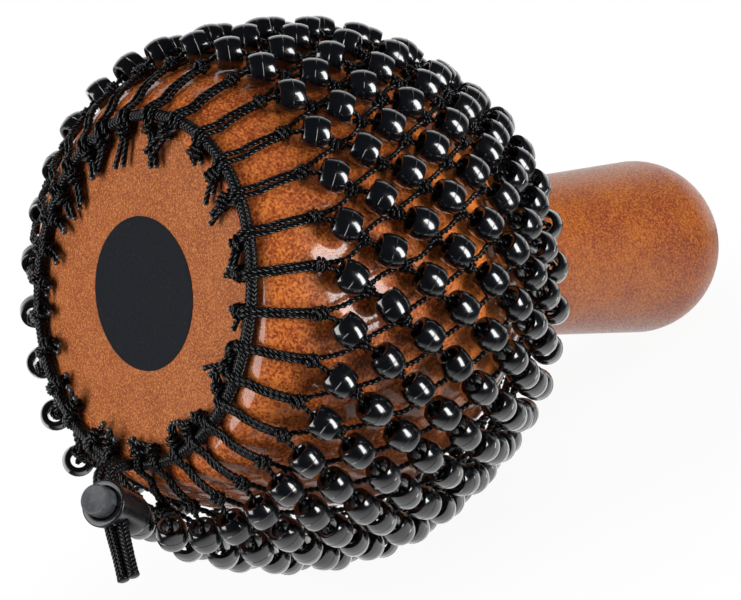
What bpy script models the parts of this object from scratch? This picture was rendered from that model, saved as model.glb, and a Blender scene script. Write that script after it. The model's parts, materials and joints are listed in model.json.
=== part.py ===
"""A cabasa: a hollow gourd-shaped shell with a handle, and a loose net of beads that turns round it.

Every piece is modelled about the instrument's own axis, in the frame of one empty. There +Z runs from
the front face to the end of the handle, and +X points to the side that the instrument lies on.
The empty is then tilted until the bead net and the handle's end both touch the floor at Z = 0.
"""

import math
from itertools import pairwise

import bmesh
import bpy
import numpy as np
from mathutils import Matrix, Vector

MM = 0.001

# Driving dimensions of the shell
FACE_RADIUS = 44 * MM
FACE_CROWN = 0.4 * MM
FACE_LAND_RADIUS = 30 * MM
BELLY_RADIUS = 63 * MM
BELLY_PLACE = 53 * MM
NECK_PLACE = 126 * MM
NECK_SHAPE = 1.3
HANDLE_RADIUS = 25.5 * MM
HANDLE_PLACE = 186 * MM
HANDLE_TAPER = 0.06
HANDLE_DOME = 25 * MM
WALL = 2.5 * MM
CAP_THICKNESS = 2.5 * MM
CAP_LEDGE = 3 * MM

# Driving dimensions of the bead net
SPOKES = 30
BEAD_ROWS = 9
LATTICE_TURN = math.radians(9)
FIRST_ROW_PITCH = 11.2 * MM
LAST_ROW_PITCH = 9 * MM
SPOKE_RUN = 19.5 * MM
BEAD_RADIUS = 4.4 * MM
BEAD_LENGTH = 6.2 * MM
STRAND_RADIUS = 1 * MM
KNOT_RADIUS = 1.5 * MM
HITCH_RADIUS = 1.1 * MM
KNOT_STEP = 1.5 * MM
HITCH_HEIGHT = 1 * MM
CROWD_PITCH = 12.8 * MM
CROWD_LIFT = 0.9
NET_SLACK = 10.5 * MM
SLACK_RUN = 17.5 * MM
SLACK_TURN = math.radians(20)
NET_SHIFT = 1.8 * MM
NET_SKEW = 5.5 * MM

# Driving dimensions of the cords
DRAWSTRING_DIAMETER = 3 * MM
DRAWSTRING_RUN = 1.2 * MM
LOOP_OVAL = 2.6 * MM
OVAL_TURN = math.radians(43)
LOOP_SHIFT = 1.2 * MM
SHIFT_TURN = math.radians(-116)
SPOKE_WIDTH = 2.6 * MM
SPOKE_THICKNESS = 1.4 * MM
SPOKE_KNOT_WIDTH = 4 * MM
SPOKE_KNOT_THICKNESS = 3 * MM
TAIL_LENGTH = 7 * MM
NECK_CORD_DIAMETER = 3 * MM
NECK_CORD_RUN = 143 * MM
LACE_RADIUS = 1.1 * MM

# Driving dimensions of the cord lock
LOCK_TURN = math.radians(10.5)
LOCK_RUN = 10 * MM
LOCK_GAP = 3.3 * MM
TAIL_WAY = Vector((0.9, -0.4, -0.15))
BUTTON_WAY = Vector((-0.29, -0.37, -0.88))
LOCK_RADIUS = 6.5 * MM
LOCK_FRONT = 4.6 * MM
LOCK_BACK = 13.4 * MM
LOCK_FLOOR = 1.6 * MM
PLUNGER_RADIUS = 4.7 * MM
PLUNGER_FOOT = 2.4 * MM
BUTTON_RISE = 4.5 * MM
BUTTON_TRAVEL = 2.5 * MM
CORD_SPACING = 3.7 * MM
LOCK_TRAVEL = 10 * MM
TAIL_BEYOND = 5.5 * MM
SPRING_WIRE = 0.5 * MM
SPRING_RADIUS = 3.4 * MM
SPRING_TURNS = 3.5
LOCK_ROOM = math.radians(2.5)

CLEARANCE = 0.35 * MM
SHELL_SIDES = 30
SPOKE_STEP = 2 * math.pi / SPOKES
KNOT_HEIGHT = HITCH_HEIGHT + HITCH_RADIUS + CLEARANCE + KNOT_RADIUS / 2


def make_material(name, colour, roughness, metallic=0.0, coat=0.0):
    material = bpy.data.materials.new(name)
    material.use_nodes = True
    shader = material.node_tree.nodes["Principled BSDF"]
    shader.inputs["Base Color"].default_value = (*colour, 1.0)
    shader.inputs["Roughness"].default_value = roughness
    shader.inputs["Metallic"].default_value = metallic
    shader.inputs["Coat Weight"].default_value = coat
    return material


def add_object(name, data, material, parent):
    piece = bpy.data.objects.new(name, data)
    bpy.context.scene.collection.objects.link(piece)
    piece.parent = parent
    data.materials.append(material)
    return piece


def mesh_from(name, shape, crease_degrees=40):
    """The finished mesh of a bmesh, facing out and shaded smooth up to the crease angle."""
    bmesh.ops.recalc_face_normals(shape, faces=shape.faces)
    mesh = bpy.data.meshes.new(name)
    shape.to_mesh(mesh)
    shape.free()
    mesh.shade_smooth()
    mesh.set_sharp_from_angle(angle=math.radians(crease_degrees))
    return mesh


def add_turned(name, profile, sides, material, parent):
    """A solid of revolution about local Z. The profile of (radius, z) runs down its outer side."""
    mesh = bpy.data.meshes.new(name)
    mesh.from_pydata([(radius, 0, z) for radius, z in profile], list(pairwise(range(len(profile)))), [])
    piece = add_object(name, mesh, material, parent)
    screw = piece.modifiers.new("Turn", "SCREW")
    screw.steps = screw.render_steps = sides
    screw.use_merge_vertices = True
    screw.merge_threshold = 0.01 * MM
    screw.use_smooth_shade = True
    return piece


def add_cord(name, points, diameter, resolution, material, parent, closed=False):
    """A round cord through the points, as one bevelled curve."""
    curve = bpy.data.curves.new(name, "CURVE")
    curve.dimensions = "3D"
    curve.bevel_depth = diameter / 2
    curve.bevel_resolution = resolution
    curve.use_fill_caps = True
    spline = curve.splines.new("POLY")
    spline.points.add(len(points) - 1)
    for knot, point in zip(spline.points, points):
        knot.co = (*point, 1.0)
    spline.use_cyclic_u = closed
    return add_object(name, curve, material, parent)


# The shell's outer profile


def handle_radius(z):
    """Radius of the tapered handle, carried on as a cone towards the front."""
    return HANDLE_RADIUS - HANDLE_TAPER * (HANDLE_PLACE - z)


def shoulder(count):
    """A quarter ellipse from the edge of the flat front to the widest circle."""
    for step in range(count):
        angle = math.pi / 2 * step / count
        radius = FACE_RADIUS + (BELLY_RADIUS - FACE_RADIUS) * math.sin(angle)
        yield radius, BELLY_PLACE * (1 - math.cos(angle))


def belly_back(count):
    """From the widest circle round the back of the belly and into the neck."""
    swell = BELLY_RADIUS - handle_radius(BELLY_PLACE)
    for step in range(count):
        share = math.sin(math.pi / 2 * step / count)
        z = BELLY_PLACE + (NECK_PLACE - BELLY_PLACE) * share
        yield handle_radius(z) + swell * (1 - share**2) ** NECK_SHAPE, z


def handle_end(count):
    """The plain handle and its rounded end, up to the axis."""
    yield handle_radius(NECK_PLACE), NECK_PLACE
    for step in range(count):
        angle = math.pi / 2 * step / count
        yield HANDLE_RADIUS * math.cos(angle), HANDLE_PLACE + HANDLE_DOME * math.sin(angle)
    yield 0.0, HANDLE_PLACE + HANDLE_DOME


def outer_profile(front, back, dome):
    return [*shoulder(front), *belly_back(back), *handle_end(dome)]


def inner_profile(front, back, dome):
    """The outer profile moved in by the wall, from behind the cap's ledge to the axis."""
    outline = np.array(outer_profile(front, back, dome))
    tangent = np.gradient(outline, axis=0)
    tangent /= np.linalg.norm(tangent, axis=1)[:, None]
    inner = outline + WALL * np.column_stack([-tangent[:, 1], tangent[:, 0]])
    ledge_back = CAP_THICKNESS + CLEARANCE + WALL
    inner = inner[inner[:, 1] > ledge_back + WALL / 2]
    inner[-1] = (0.0, HANDLE_PLACE + HANDLE_DOME - WALL)
    return [tuple(point) for point in inner]


def front_profile():
    """The slightly crowned front, from near its edge to its centre."""
    halfway = (FACE_RADIUS - CLEARANCE + FACE_LAND_RADIUS) / 2
    return [(halfway, -0.7 * FACE_CROWN), (FACE_LAND_RADIUS, -FACE_CROWN), (0, -FACE_CROWN)]


class Skin:
    """The outer surface, measured by the run along it from the edge of the front, on which it is below 0."""

    def __init__(self):
        front = front_profile()
        outline = np.array([*reversed(front), *outer_profile(60, 90, 30)])
        steps = np.linalg.norm(np.diff(outline, axis=0), axis=1)
        run = np.concatenate([[0.0], np.cumsum(steps)])
        self.run = run - run[len(front)]
        self.radius, self.z = outline.T

    def at(self, run):
        return np.interp(run, self.run, self.radius), np.interp(run, self.run, self.z)

    def slope(self, run):
        """Unit direction along the surface, as (radius, z)."""
        before = np.array(self.at(run - 0.5 * MM))
        after = np.array(self.at(run + 0.5 * MM))
        way = after - before
        return way / np.linalg.norm(way)

    def point(self, run, height, azimuth, slack=0.0):
        """The point this high above the surface, and there the directions out, along and round."""
        radius, z = self.at(run)
        along_r, along_z = self.slope(run)
        spoke = Vector((math.cos(azimuth), math.sin(azimuth), 0))
        axis = Vector((0, 0, 1))
        out = spoke * along_z - axis * along_r
        along = spoke * along_r + axis * along_z
        place = spoke * (radius + slack) + axis * z + out * height
        return place, out, along, axis.cross(spoke)


SKIN = Skin()


def knot_run(row):
    """How far along the shell the knots above a row of beads lie. The rows close up towards the neck."""
    closing = (FIRST_ROW_PITCH - LAST_ROW_PITCH) / (BEAD_ROWS - 1)
    return SPOKE_RUN + row * FIRST_ROW_PITCH - closing * row * (row - 1) / 2


def net_slack(run, azimuth):
    """How far the loose net hangs off the shell: most at the middle of its underside."""
    share = (run - SLACK_RUN) / (NECK_CORD_RUN - SLACK_RUN)
    under = (1 + math.cos(azimuth - SLACK_TURN)) / 2
    swell = math.sin(math.pi * min(max(share, 0.0), 1.0) ** 0.7)
    return NET_SLACK * under**1.5 * swell**0.75


def skewed(run, azimuth):
    """The net sits askew: its slack side is drawn nearer to the face, but at the neck it is tied."""
    share = (run - SPOKE_RUN) / (NECK_CORD_RUN - SPOKE_RUN)
    return run - (1 - share**2) * (NET_SHIFT + NET_SKEW * math.cos(azimuth - SLACK_TURN))


def lattice_azimuth(column):
    """Where a column of knots lies. A knot of the next row lies half a column further round."""
    return LATTICE_TURN + column * SPOKE_STEP


def net_point(run, height, column):
    azimuth = lattice_azimuth(column)
    return SKIN.point(skewed(run, azimuth), height, azimuth, net_slack(run, azimuth))


# Lofting between rings of points


def add_ring(shape, centre, first, second, count):
    """Points round an ellipse with the half axes first and second, turning from first to second."""
    angles = [2 * math.pi * step / count for step in range(count)]
    return [shape.verts.new(centre + first * math.cos(angle) + second * math.sin(angle)) for angle in angles]


def add_quad(shape, a, b, c, d):
    """Two faces over four corners, split along the diagonal that stands out, so that no dent is made."""
    normal = (b.co - a.co).cross(d.co - a.co)
    halves = ((a, b, c), (a, c, d)) if normal.dot(c.co - a.co) > 0 else ((a, b, d), (b, c, d))
    for corners in halves:
        shape.faces.new(corners)


def bridge(shape, ring, following):
    """Faces between two rings of the same count, or of which one has twice the other's points."""
    if len(ring) == len(following):
        for i, vertex in enumerate(ring):
            j = (i + 1) % len(ring)
            add_quad(shape, vertex, ring[j], following[j], following[i])
        return
    few, many = sorted((ring, following), key=len)
    for i, vertex in enumerate(few):
        beside = few[(i + 1) % len(few)]
        start, middle, end = (many[(2 * i + k) % len(many)] for k in range(3))
        for corners in ((vertex, start, middle), (vertex, middle, beside), (beside, middle, end)):
            shape.faces.new(corners)


def add_loft(name, rings, material, parent, closed):
    """One closed body through rings, each given as centre, two half axes and a point count."""
    shape = bmesh.new()
    loops = [add_ring(shape, *ring) for ring in rings]
    for ring, following in pairwise([*loops, loops[0]] if closed else loops):
        bridge(shape, ring, following)
    if not closed:
        shape.faces.new(loops[0])
        shape.faces.new(loops[-1])
    return add_object(name, mesh_from(name, shape), material, parent)


# The pieces


def add_shell(material, parent):
    seat = CAP_THICKNESS + CLEARANCE
    ledge_radius = FACE_RADIUS - CAP_LEDGE
    profile = [
        *reversed(outer_profile(7, 9, 4)),
        (FACE_RADIUS, seat),
        (ledge_radius, seat),
        (ledge_radius, seat + WALL),
        *inner_profile(3, 4, 3),
    ]
    return add_turned("shell", profile, SHELL_SIDES, material, parent)


def add_front_cap(material, parent):
    radius = FACE_RADIUS - CLEARANCE
    profile = [
        (0, CAP_THICKNESS),
        (radius, CAP_THICKNESS),
        (radius, 0),
        *front_profile(),
    ]
    return add_turned("front_cap", profile, SHELL_SIDES, material, parent)


def knot_ring(run, height, column, radius):
    """A three-sided ring across the turn of a strand, with one corner out and one flat side to the shell."""
    place, out, _, around = net_point(run, height, column)
    return place, out * radius, around.cross(out) * radius, 3


def bead_rings(run, column):
    """A bead with flat ends on the strand between two knots: six-sided, with the thin strand at each end."""
    before, _, _, _ = net_point(run - FIRST_ROW_PITCH / 2, 0, column - 0.25)
    after, _, _, _ = net_point(run + FIRST_ROW_PITCH / 2, 0, column + 0.25)
    radius, _ = SKIN.at(skewed(run, lattice_azimuth(column)))
    crowding = max(0.0, CROWD_PITCH - SPOKE_STEP * (radius + BEAD_RADIUS))
    height = BEAD_RADIUS + CLEARANCE + CROWD_LIFT * crowding
    place, out, _, _ = net_point(run, height, column)
    way = (after - before).normalized()
    up = (out - way * out.dot(way)).normalized()
    side = way.cross(up)
    top = place - way * BEAD_LENGTH / 2
    bottom = place + way * BEAD_LENGTH / 2
    strand = (up * STRAND_RADIUS, side * STRAND_RADIUS, 3)
    bead = (up * BEAD_RADIUS, side * BEAD_RADIUS, 6)
    return [(top, *strand), (top, *bead), (bottom, *bead), (bottom, *strand)]


def add_bead_row(row, material, parent):
    """One round of the net: a strand that zigzags between two rows of knots, a bead on each way down."""
    top = knot_run(row) + KNOT_STEP / 2
    bottom = knot_run(row + 1) - KNOT_STEP / 2
    rings = []
    for spoke in range(SPOKES):
        column = spoke + row / 2
        rings.append(knot_ring(top, HITCH_HEIGHT, column, HITCH_RADIUS))
        rings.extend(bead_rings((top + bottom) / 2, column + 0.25))
        rings.append(knot_ring(bottom, KNOT_HEIGHT, column + 0.5, KNOT_RADIUS))
    return add_loft(f"bead_row_{row + 1}", rings, material, parent, closed=True)


def add_neck_lacing(material, parent):
    """The bare strands that draw the last knots in to the cord round the neck."""
    top = knot_run(BEAD_ROWS) + KNOT_STEP / 2
    bottom = NECK_CORD_RUN - NECK_CORD_DIAMETER / 2 - LACE_RADIUS - CLEARANCE
    rings = []
    for spoke in range(SPOKES):
        column = spoke + BEAD_ROWS / 2
        rings.append(knot_ring(top, HITCH_HEIGHT, column, HITCH_RADIUS))
        rings.append(knot_ring(bottom, NECK_CORD_DIAMETER / 2 + CLEARANCE, column + 0.5, LACE_RADIUS))
    return add_loft("neck_lacing", rings, material, parent, closed=True)


def add_neck_cord(material, parent):
    points = []
    for step in range(SPOKES):
        azimuth = step * SPOKE_STEP
        place, _, _, _ = SKIN.point(NECK_CORD_RUN, NECK_CORD_DIAMETER / 2 + CLEARANCE, azimuth)
        points.append(place)
    return add_cord("neck_cord", points, NECK_CORD_DIAMETER, 1, material, parent, closed=True)


def loop_run(azimuth):
    """How far behind the rim the drawstring lies. Its loop is a little oval and off centre."""
    oval = LOOP_OVAL * math.cos(2 * (azimuth - OVAL_TURN))
    return DRAWSTRING_RUN + oval + LOOP_SHIFT * math.cos(azimuth - SHIFT_TURN)


def drawstring_centre(azimuth):
    return SKIN.point(loop_run(azimuth), DRAWSTRING_DIAMETER / 2 + CLEARANCE, azimuth)


def lock_azimuth():
    """The drawstring's ends leave its loop midway between the two spokes nearest the lock."""
    column = (LOCK_TURN - LATTICE_TURN) / SPOKE_STEP
    return lattice_azimuth(math.floor(column) + 0.5)


def spoke_azimuth(spoke):
    """Where a spoke crosses the drawstring. The two beside the lock stand aside for its cords."""
    azimuth = lattice_azimuth(spoke)
    off = math.remainder(azimuth - lock_azimuth(), 2 * math.pi)
    return azimuth + math.copysign(LOCK_ROOM, off) if abs(off) < SPOKE_STEP else azimuth


def spoke_ring(place, out, around, width, thickness):
    high = out * thickness / 2
    wide = around * width / 2
    return place, high + wide, wide - high, 4


def add_spoke(spoke, material, parent):
    """A doubled cord: its cut tail on the face, its hitch over the drawstring, its run to the first knot."""
    start = spoke_azimuth(spoke)
    end = lattice_azimuth(spoke)
    height = SPOKE_THICKNESS / 2 + CLEARANCE
    centre, out, along, around = drawstring_centre(start)
    reach = DRAWSTRING_DIAMETER / 2 + CLEARANCE + SPOKE_THICKNESS
    rings = []
    for length in (TAIL_LENGTH, 0.3 * TAIL_LENGTH):
        run = loop_run(start) - DRAWSTRING_DIAMETER / 2 - length
        face, front, _, _ = SKIN.point(run, height, start)
        rings.append(spoke_ring(face, front, around, SPOKE_WIDTH, SPOKE_THICKNESS))
    for angle in (-0.7, 0.6):
        way = out * math.cos(angle) + along * math.sin(angle)
        rings.append(spoke_ring(centre + way * reach, way, around, SPOKE_WIDTH, SPOKE_THICKNESS))
    landing = loop_run(start) + DRAWSTRING_DIAMETER
    knot_end = skewed(SPOKE_RUN, end) + KNOT_STEP / 2 - HITCH_RADIUS - CLEARANCE
    knot_start = knot_end - SPOKE_KNOT_WIDTH
    stations = [
        (landing, SPOKE_WIDTH, SPOKE_THICKNESS),
        ((landing + knot_start) / 2, SPOKE_WIDTH, SPOKE_THICKNESS),
        (knot_start, SPOKE_WIDTH, SPOKE_THICKNESS),
        ((knot_start + knot_end) / 2, SPOKE_KNOT_WIDTH, SPOKE_KNOT_THICKNESS),
        (knot_end, SPOKE_THICKNESS, SPOKE_THICKNESS),
    ]
    for run, width, thickness in stations:
        share = (run - landing) / (knot_end - landing)
        azimuth = start + (end - start) * share
        slack = share * net_slack(SPOKE_RUN, azimuth)
        place, out, _, around = SKIN.point(run, thickness / 2 + 2 * CLEARANCE, azimuth, slack)
        rings.append(spoke_ring(place, out, around, width, thickness))
    return add_loft(f"spoke_{spoke + 1:02d}", rings, material, parent, closed=False)


def bend(start, start_way, end, end_way, count):
    """Points between two ends on a smooth curve that leaves and arrives along the given ways."""
    for step in range(1, count):
        t = step / count
        yield (
            start * (2 * t**3 - 3 * t**2 + 1)
            + start_way * (t**3 - 2 * t**2 + t)
            + end * (3 * t**2 - 2 * t**3)
            + end_way * (t**3 - t**2)
        )


def least_gap(points, diameter):
    """The least gap between stretches of a cord that lie more than three diameters apart along it."""
    walked = np.cumsum([0.0, *((b - a).length for a, b in pairwise(points))])
    found = [
        (points[i] - points[j]).length - diameter
        for i in range(len(points))
        for j in range(i)
        if walked[i] - walked[j] > 3 * diameter
    ]
    return min(found)


def add_drawstring(lock, material, parent):
    """One cord: a tail, up through the lock, round the rim of the face, and back down to the other tail."""
    frame = lock.matrix_basis
    hang = frame.to_3x3().col[0]
    entry = -(LOCK_RADIUS + DRAWSTRING_DIAMETER / 2)
    tail_end = LOCK_RADIUS + LOCK_TRAVEL + TAIL_BEYOND
    leave = 0.11
    loop_steps = 36
    middle = lock_azimuth()
    tails = []
    bends = []
    for side in (1, -1):
        shift = -side * CORD_SPACING / 2
        tail = [frame @ Vector((x, shift, 0)) for x in np.linspace(entry, tail_end, 6)]
        place, _, _, around = drawstring_centre(middle + side * leave)
        pull = (place - tail[0]).length
        bends.append(list(bend(place, around * -side * pull, tail[0], hang * pull, 5)))
        tails.append(tail)
    sweep = 2 * math.pi - 2 * leave
    turns = [middle + leave + sweep * step / loop_steps for step in range(loop_steps + 1)]
    loop = [drawstring_centre(turn)[0] for turn in turns]
    points = [*reversed(tails[0]), *reversed(bends[0]), *loop, *bends[1], *tails[1]]
    print(f"drawstring: least gap to itself {least_gap(points, DRAWSTRING_DIAMETER) / MM:.2f} mm")
    return add_cord("drawstring", points, DRAWSTRING_DIAMETER, 2, material, parent)


def add_slot_cutter(name, low, high, reach, parent):
    """A round-ended slot across the lock, wide enough for the two cords side by side."""
    end_radius = DRAWSTRING_DIAMETER / 2 + CLEARANCE
    half_gap = CORD_SPACING / 2
    outline = []
    for side, turn in ((1, -90), (-1, 90)):
        for step in range(7):
            angle = math.radians(turn + 30 * step)
            z = high - end_radius if math.sin(angle) > 0 else low + end_radius
            outline.append((side * half_gap + end_radius * math.cos(angle), z + end_radius * math.sin(angle)))
    shape = bmesh.new()
    face = shape.faces.new([shape.verts.new((-reach, y, z)) for y, z in outline])
    extruded = bmesh.ops.extrude_face_region(shape, geom=[face])
    moved = [item for item in extruded["geom"] if isinstance(item, bmesh.types.BMVert)]
    bmesh.ops.translate(shape, verts=moved, vec=(2 * reach, 0, 0))
    mesh = mesh_from(name, shape)
    cutter = bpy.data.objects.new(name, mesh)
    bpy.context.scene.collection.objects.link(cutter)
    cutter.parent = parent
    cutter.hide_render = True
    cutter.display_type = "WIRE"
    return cutter


def cut(piece, cutter):
    boolean = piece.modifiers.new("Cross hole", "BOOLEAN")
    boolean.operation = "DIFFERENCE"
    boolean.object = cutter


def add_lock_barrel(material, parent):
    """The lock's body: a blind bore for the plunger and a hole across it for the two cords."""
    bore = PLUNGER_RADIUS + CLEARANCE
    floor = LOCK_FLOOR - LOCK_BACK
    edge = 0.2 * LOCK_RADIUS
    profile = [
        (0, floor),
        (bore, floor),
        (bore, LOCK_FRONT),
        (LOCK_RADIUS - edge / 2, LOCK_FRONT),
        (LOCK_RADIUS, LOCK_FRONT - edge / 2),
        (LOCK_RADIUS - edge / 3, 0),
        (LOCK_RADIUS - edge / 2, edge - LOCK_BACK),
        (LOCK_RADIUS - edge, edge / 3 - LOCK_BACK),
        (LOCK_RADIUS - 2 * edge, -LOCK_BACK),
        (0, -LOCK_BACK),
    ]
    barrel = add_turned("lock_barrel", profile, 20, material, parent)
    half = DRAWSTRING_DIAMETER / 2 + CLEARANCE
    cut(barrel, add_slot_cutter("barrel_hole_cutter", -half, half, 2 * LOCK_RADIUS, parent))
    return barrel


def plunger_bottom():
    return -(DRAWSTRING_DIAMETER / 2 + CLEARANCE + PLUNGER_FOOT)


def add_lock_plunger(material, parent):
    """The button and its stem. Its hole is longer than the cords are thick by the button's travel."""
    top = LOCK_FRONT + BUTTON_RISE
    chamfer = 0.1 * PLUNGER_RADIUS
    profile = [
        (0, top),
        (PLUNGER_RADIUS - chamfer, top),
        (PLUNGER_RADIUS, top - chamfer),
        (PLUNGER_RADIUS, plunger_bottom()),
        (0, plunger_bottom()),
    ]
    plunger = add_turned("lock_plunger", profile, 20, material, parent)
    half = DRAWSTRING_DIAMETER / 2 + CLEARANCE
    cut(plunger, add_slot_cutter("plunger_hole_cutter", -half, half + BUTTON_TRAVEL, 2 * LOCK_RADIUS, parent))
    return plunger


def add_lock_spring(material, parent):
    """The coil under the plunger that pushes the button back out."""
    low = LOCK_FLOOR - LOCK_BACK + CLEARANCE + SPRING_WIRE / 2
    high = plunger_bottom() - CLEARANCE - SPRING_WIRE / 2
    steps = round(SPRING_TURNS * 8)
    points = []
    for step in range(steps + 1):
        angle = 2 * math.pi * SPRING_TURNS * step / steps
        z = low + (high - low) * step / steps
        points.append(Vector((SPRING_RADIUS * math.cos(angle), SPRING_RADIUS * math.sin(angle), z)))
    print(f"spring: least gap to itself {least_gap(points, SPRING_WIRE) / MM:.2f} mm")
    return add_cord("lock_spring", points, SPRING_WIRE, 1, material, parent)


def lock_matrix():
    """The lock's own frame: X along the cords to their tails, Z out of the button.

    The back of the barrel lies over the shell between two spokes, and the rest is measured from there.
    """
    hang = TAIL_WAY.normalized()
    button = (BUTTON_WAY - hang * BUTTON_WAY.dot(hang)).normalized()
    turn = Matrix((hang, button.cross(hang), button)).transposed()
    back, _, _, _ = SKIN.point(LOCK_RUN, LOCK_RADIUS + LOCK_GAP, LOCK_TURN)
    return Matrix.Translation(back + button * LOCK_BACK) @ turn.to_4x4()


# Laying the instrument on the floor


def points_in(empty, pieces):
    """The corners of the pieces as built, in the empty's frame."""
    graph = bpy.context.evaluated_depsgraph_get()
    inverse = np.array(empty.matrix_world.inverted())
    found = []
    for piece in pieces:
        shown = piece.evaluated_get(graph)
        mesh = shown.to_mesh()
        corners = np.empty(3 * len(mesh.vertices), np.float32)
        mesh.vertices.foreach_get("co", corners)
        matrix = inverse @ np.array(shown.matrix_world)
        found.append(corners.reshape(-1, 3) @ matrix[:3, :3].T + matrix[:3, 3])
        shown.to_mesh_clear()
    return np.concatenate(found)


def lying_tilt(net, shell):
    """The tilt at which the net and the end of the handle are equally low, found by halving."""
    low, high = 0.0, math.pi / 3
    for _ in range(50):
        tilt = (low + high) / 2
        down = np.array([math.cos(tilt), 0, math.sin(tilt)])
        if (net @ down).max() > (shell @ down).max():
            low = tilt
        else:
            high = tilt
    return (low + high) / 2


def lay_down(empty, net_pieces, shell, every_piece):
    """Tilts the instrument onto its net and handle, with the middle of its base at the origin."""
    bpy.context.view_layer.update()
    tilt = lying_tilt(points_in(empty, net_pieces), points_in(empty, [shell]))
    empty.rotation_euler = (0, math.pi / 2 + tilt, 0)
    bpy.context.view_layer.update()
    corners = points_in(empty, every_piece) @ np.array(empty.matrix_world.to_3x3()).T
    low, high = corners.min(axis=0), corners.max(axis=0)
    empty.location = (-(low[0] + high[0]) / 2, -(low[1] + high[1]) / 2, -low[2])
    bpy.context.view_layer.update()
    return tilt


def print_way(words, vector):
    print(words, " ".join(f"{value:.6f}" for value in vector))


def main():
    for leftover in list(bpy.data.objects):
        bpy.data.objects.remove(leftover)

    lacquer = make_material("lacquered fibreglass", (0.46, 0.17, 0.045), 0.3, coat=1.0)
    bead_plastic = make_material("black bead plastic", (0.012, 0.012, 0.014), 0.12, coat=0.5)
    cord_fibre = make_material("black twisted cord", (0.014, 0.014, 0.015), 0.7)
    lock_plastic = make_material("matt black plastic", (0.03, 0.03, 0.033), 0.5)
    spring_steel = make_material("spring steel", (0.6, 0.6, 0.62), 0.35, metallic=1.0)

    instrument = bpy.data.objects.new("instrument", None)
    bpy.context.scene.collection.objects.link(instrument)
    lock = bpy.data.objects.new("cord_lock", None)
    bpy.context.scene.collection.objects.link(lock)
    lock.parent = instrument
    lock.matrix_basis = lock_matrix()

    shell = add_shell(lacquer, instrument)
    cap = add_front_cap(lacquer, instrument)
    rows = [add_bead_row(row, bead_plastic, instrument) for row in range(BEAD_ROWS)]
    spokes = [add_spoke(spoke, cord_fibre, instrument) for spoke in range(SPOKES)]
    cords = [
        add_drawstring(lock, cord_fibre, instrument),
        add_neck_lacing(cord_fibre, instrument),
        add_neck_cord(cord_fibre, instrument),
    ]
    lock_pieces = [
        add_lock_barrel(lock_plastic, lock),
        add_lock_plunger(lock_plastic, lock),
        add_lock_spring(spring_steel, lock),
    ]

    tilt = lay_down(instrument, rows, shell, [shell, cap, *rows, *spokes, *cords, *lock_pieces])
    print(f"lying tilt {math.degrees(tilt):.3f} degrees")
    world = instrument.matrix_world
    print_way("centre of the face", world @ Vector((0, 0, -FACE_CROWN)))
    print_way("axis from face to handle", world.to_3x3().col[2])
    print_way("side that it lies on", world.to_3x3().col[0])
    print_way("cords in the lock", lock.matrix_world.translation)
    print_way("way of the tails", lock.matrix_world.to_3x3().col[0])
    print_way("way of the button", lock.matrix_world.to_3x3().col[2])


main()
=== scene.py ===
# %% [markdown]
# # A cabasa, dressed over its solid frame
# A cabasa is a gourd-shaped shell with a handle and a loose net of beads that is turned round it by hand.
# The solids give the place of every piece. Here each of them gets the surface that the eye sees: speckled
# lacquer, moulded beads, twisted and braided cords. The pieces still ride on the solids' bodies.

import json
import math

import bpy
import numpy as np
from mathutils import Matrix, Vector


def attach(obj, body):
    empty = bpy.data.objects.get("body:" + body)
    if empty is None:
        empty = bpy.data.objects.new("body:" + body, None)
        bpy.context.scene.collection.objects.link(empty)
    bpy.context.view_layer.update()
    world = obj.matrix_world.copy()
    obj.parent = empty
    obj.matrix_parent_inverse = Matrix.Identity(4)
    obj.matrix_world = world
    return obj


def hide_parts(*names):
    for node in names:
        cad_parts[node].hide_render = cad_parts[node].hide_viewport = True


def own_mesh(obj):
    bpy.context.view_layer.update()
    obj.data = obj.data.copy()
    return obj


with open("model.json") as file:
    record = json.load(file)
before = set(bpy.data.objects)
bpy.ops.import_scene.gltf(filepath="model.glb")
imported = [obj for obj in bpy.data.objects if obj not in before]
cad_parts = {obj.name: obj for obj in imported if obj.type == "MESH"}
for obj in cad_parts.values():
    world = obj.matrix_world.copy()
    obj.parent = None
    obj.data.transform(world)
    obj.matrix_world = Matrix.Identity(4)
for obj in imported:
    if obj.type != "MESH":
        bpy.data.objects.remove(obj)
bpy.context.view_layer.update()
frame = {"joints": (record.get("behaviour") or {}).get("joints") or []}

# %% [markdown]
# ## The instrument's own frame
# Everything turned or tied on this instrument is simplest to state about its own axis. In this frame Z runs
# from the face to the handle, X points to the side that it lies on, and the origin is in the face's edge.
# The hinge that the net turns on gives that axis, so nothing has to be measured twice.

# %% The instrument's own frame
MM = 0.001
FACE_CROWN = 0.4 * MM

joints = {joint["name"]: joint for joint in frame["joints"]}
axis = Vector(joints["net_turn"]["axis"]).normalized()
across = Vector((0, 1, 0))
origin = Vector(joints["net_turn"]["pos_m"]) + axis * FACE_CROWN
INSTRUMENT = Matrix.Translation(origin) @ Matrix((across.cross(axis), across, axis)).transposed().to_4x4()
print("the handle dips by", round(math.degrees(math.asin(-axis.z)), 1), "degrees")

# %% [markdown]
# ## Camera
# The picture was taken from about a metre with a long lens, held a little askew. The round label, the
# drawstring's loop, the ring of first knots and the handle's end fix where the camera stood.

# %% Camera
CAMERA_PLACE = Vector((7.8, -785.3, -621.9)) * MM
CAMERA_RIGHT = Vector((0.1018, -0.6626, 0.7419))
CAMERA_BACK = Vector((0, -0.7458, -0.6661))
FOCAL_LENGTH, SENSOR_WIDTH = 183.5, 36

back = CAMERA_BACK.normalized()
right = (CAMERA_RIGHT - back * CAMERA_RIGHT.dot(back)).normalized()
turn = Matrix((right, back.cross(right), back)).transposed()
CAMERA = INSTRUMENT @ Matrix.Translation(CAMERA_PLACE) @ turn.to_4x4()

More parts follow.
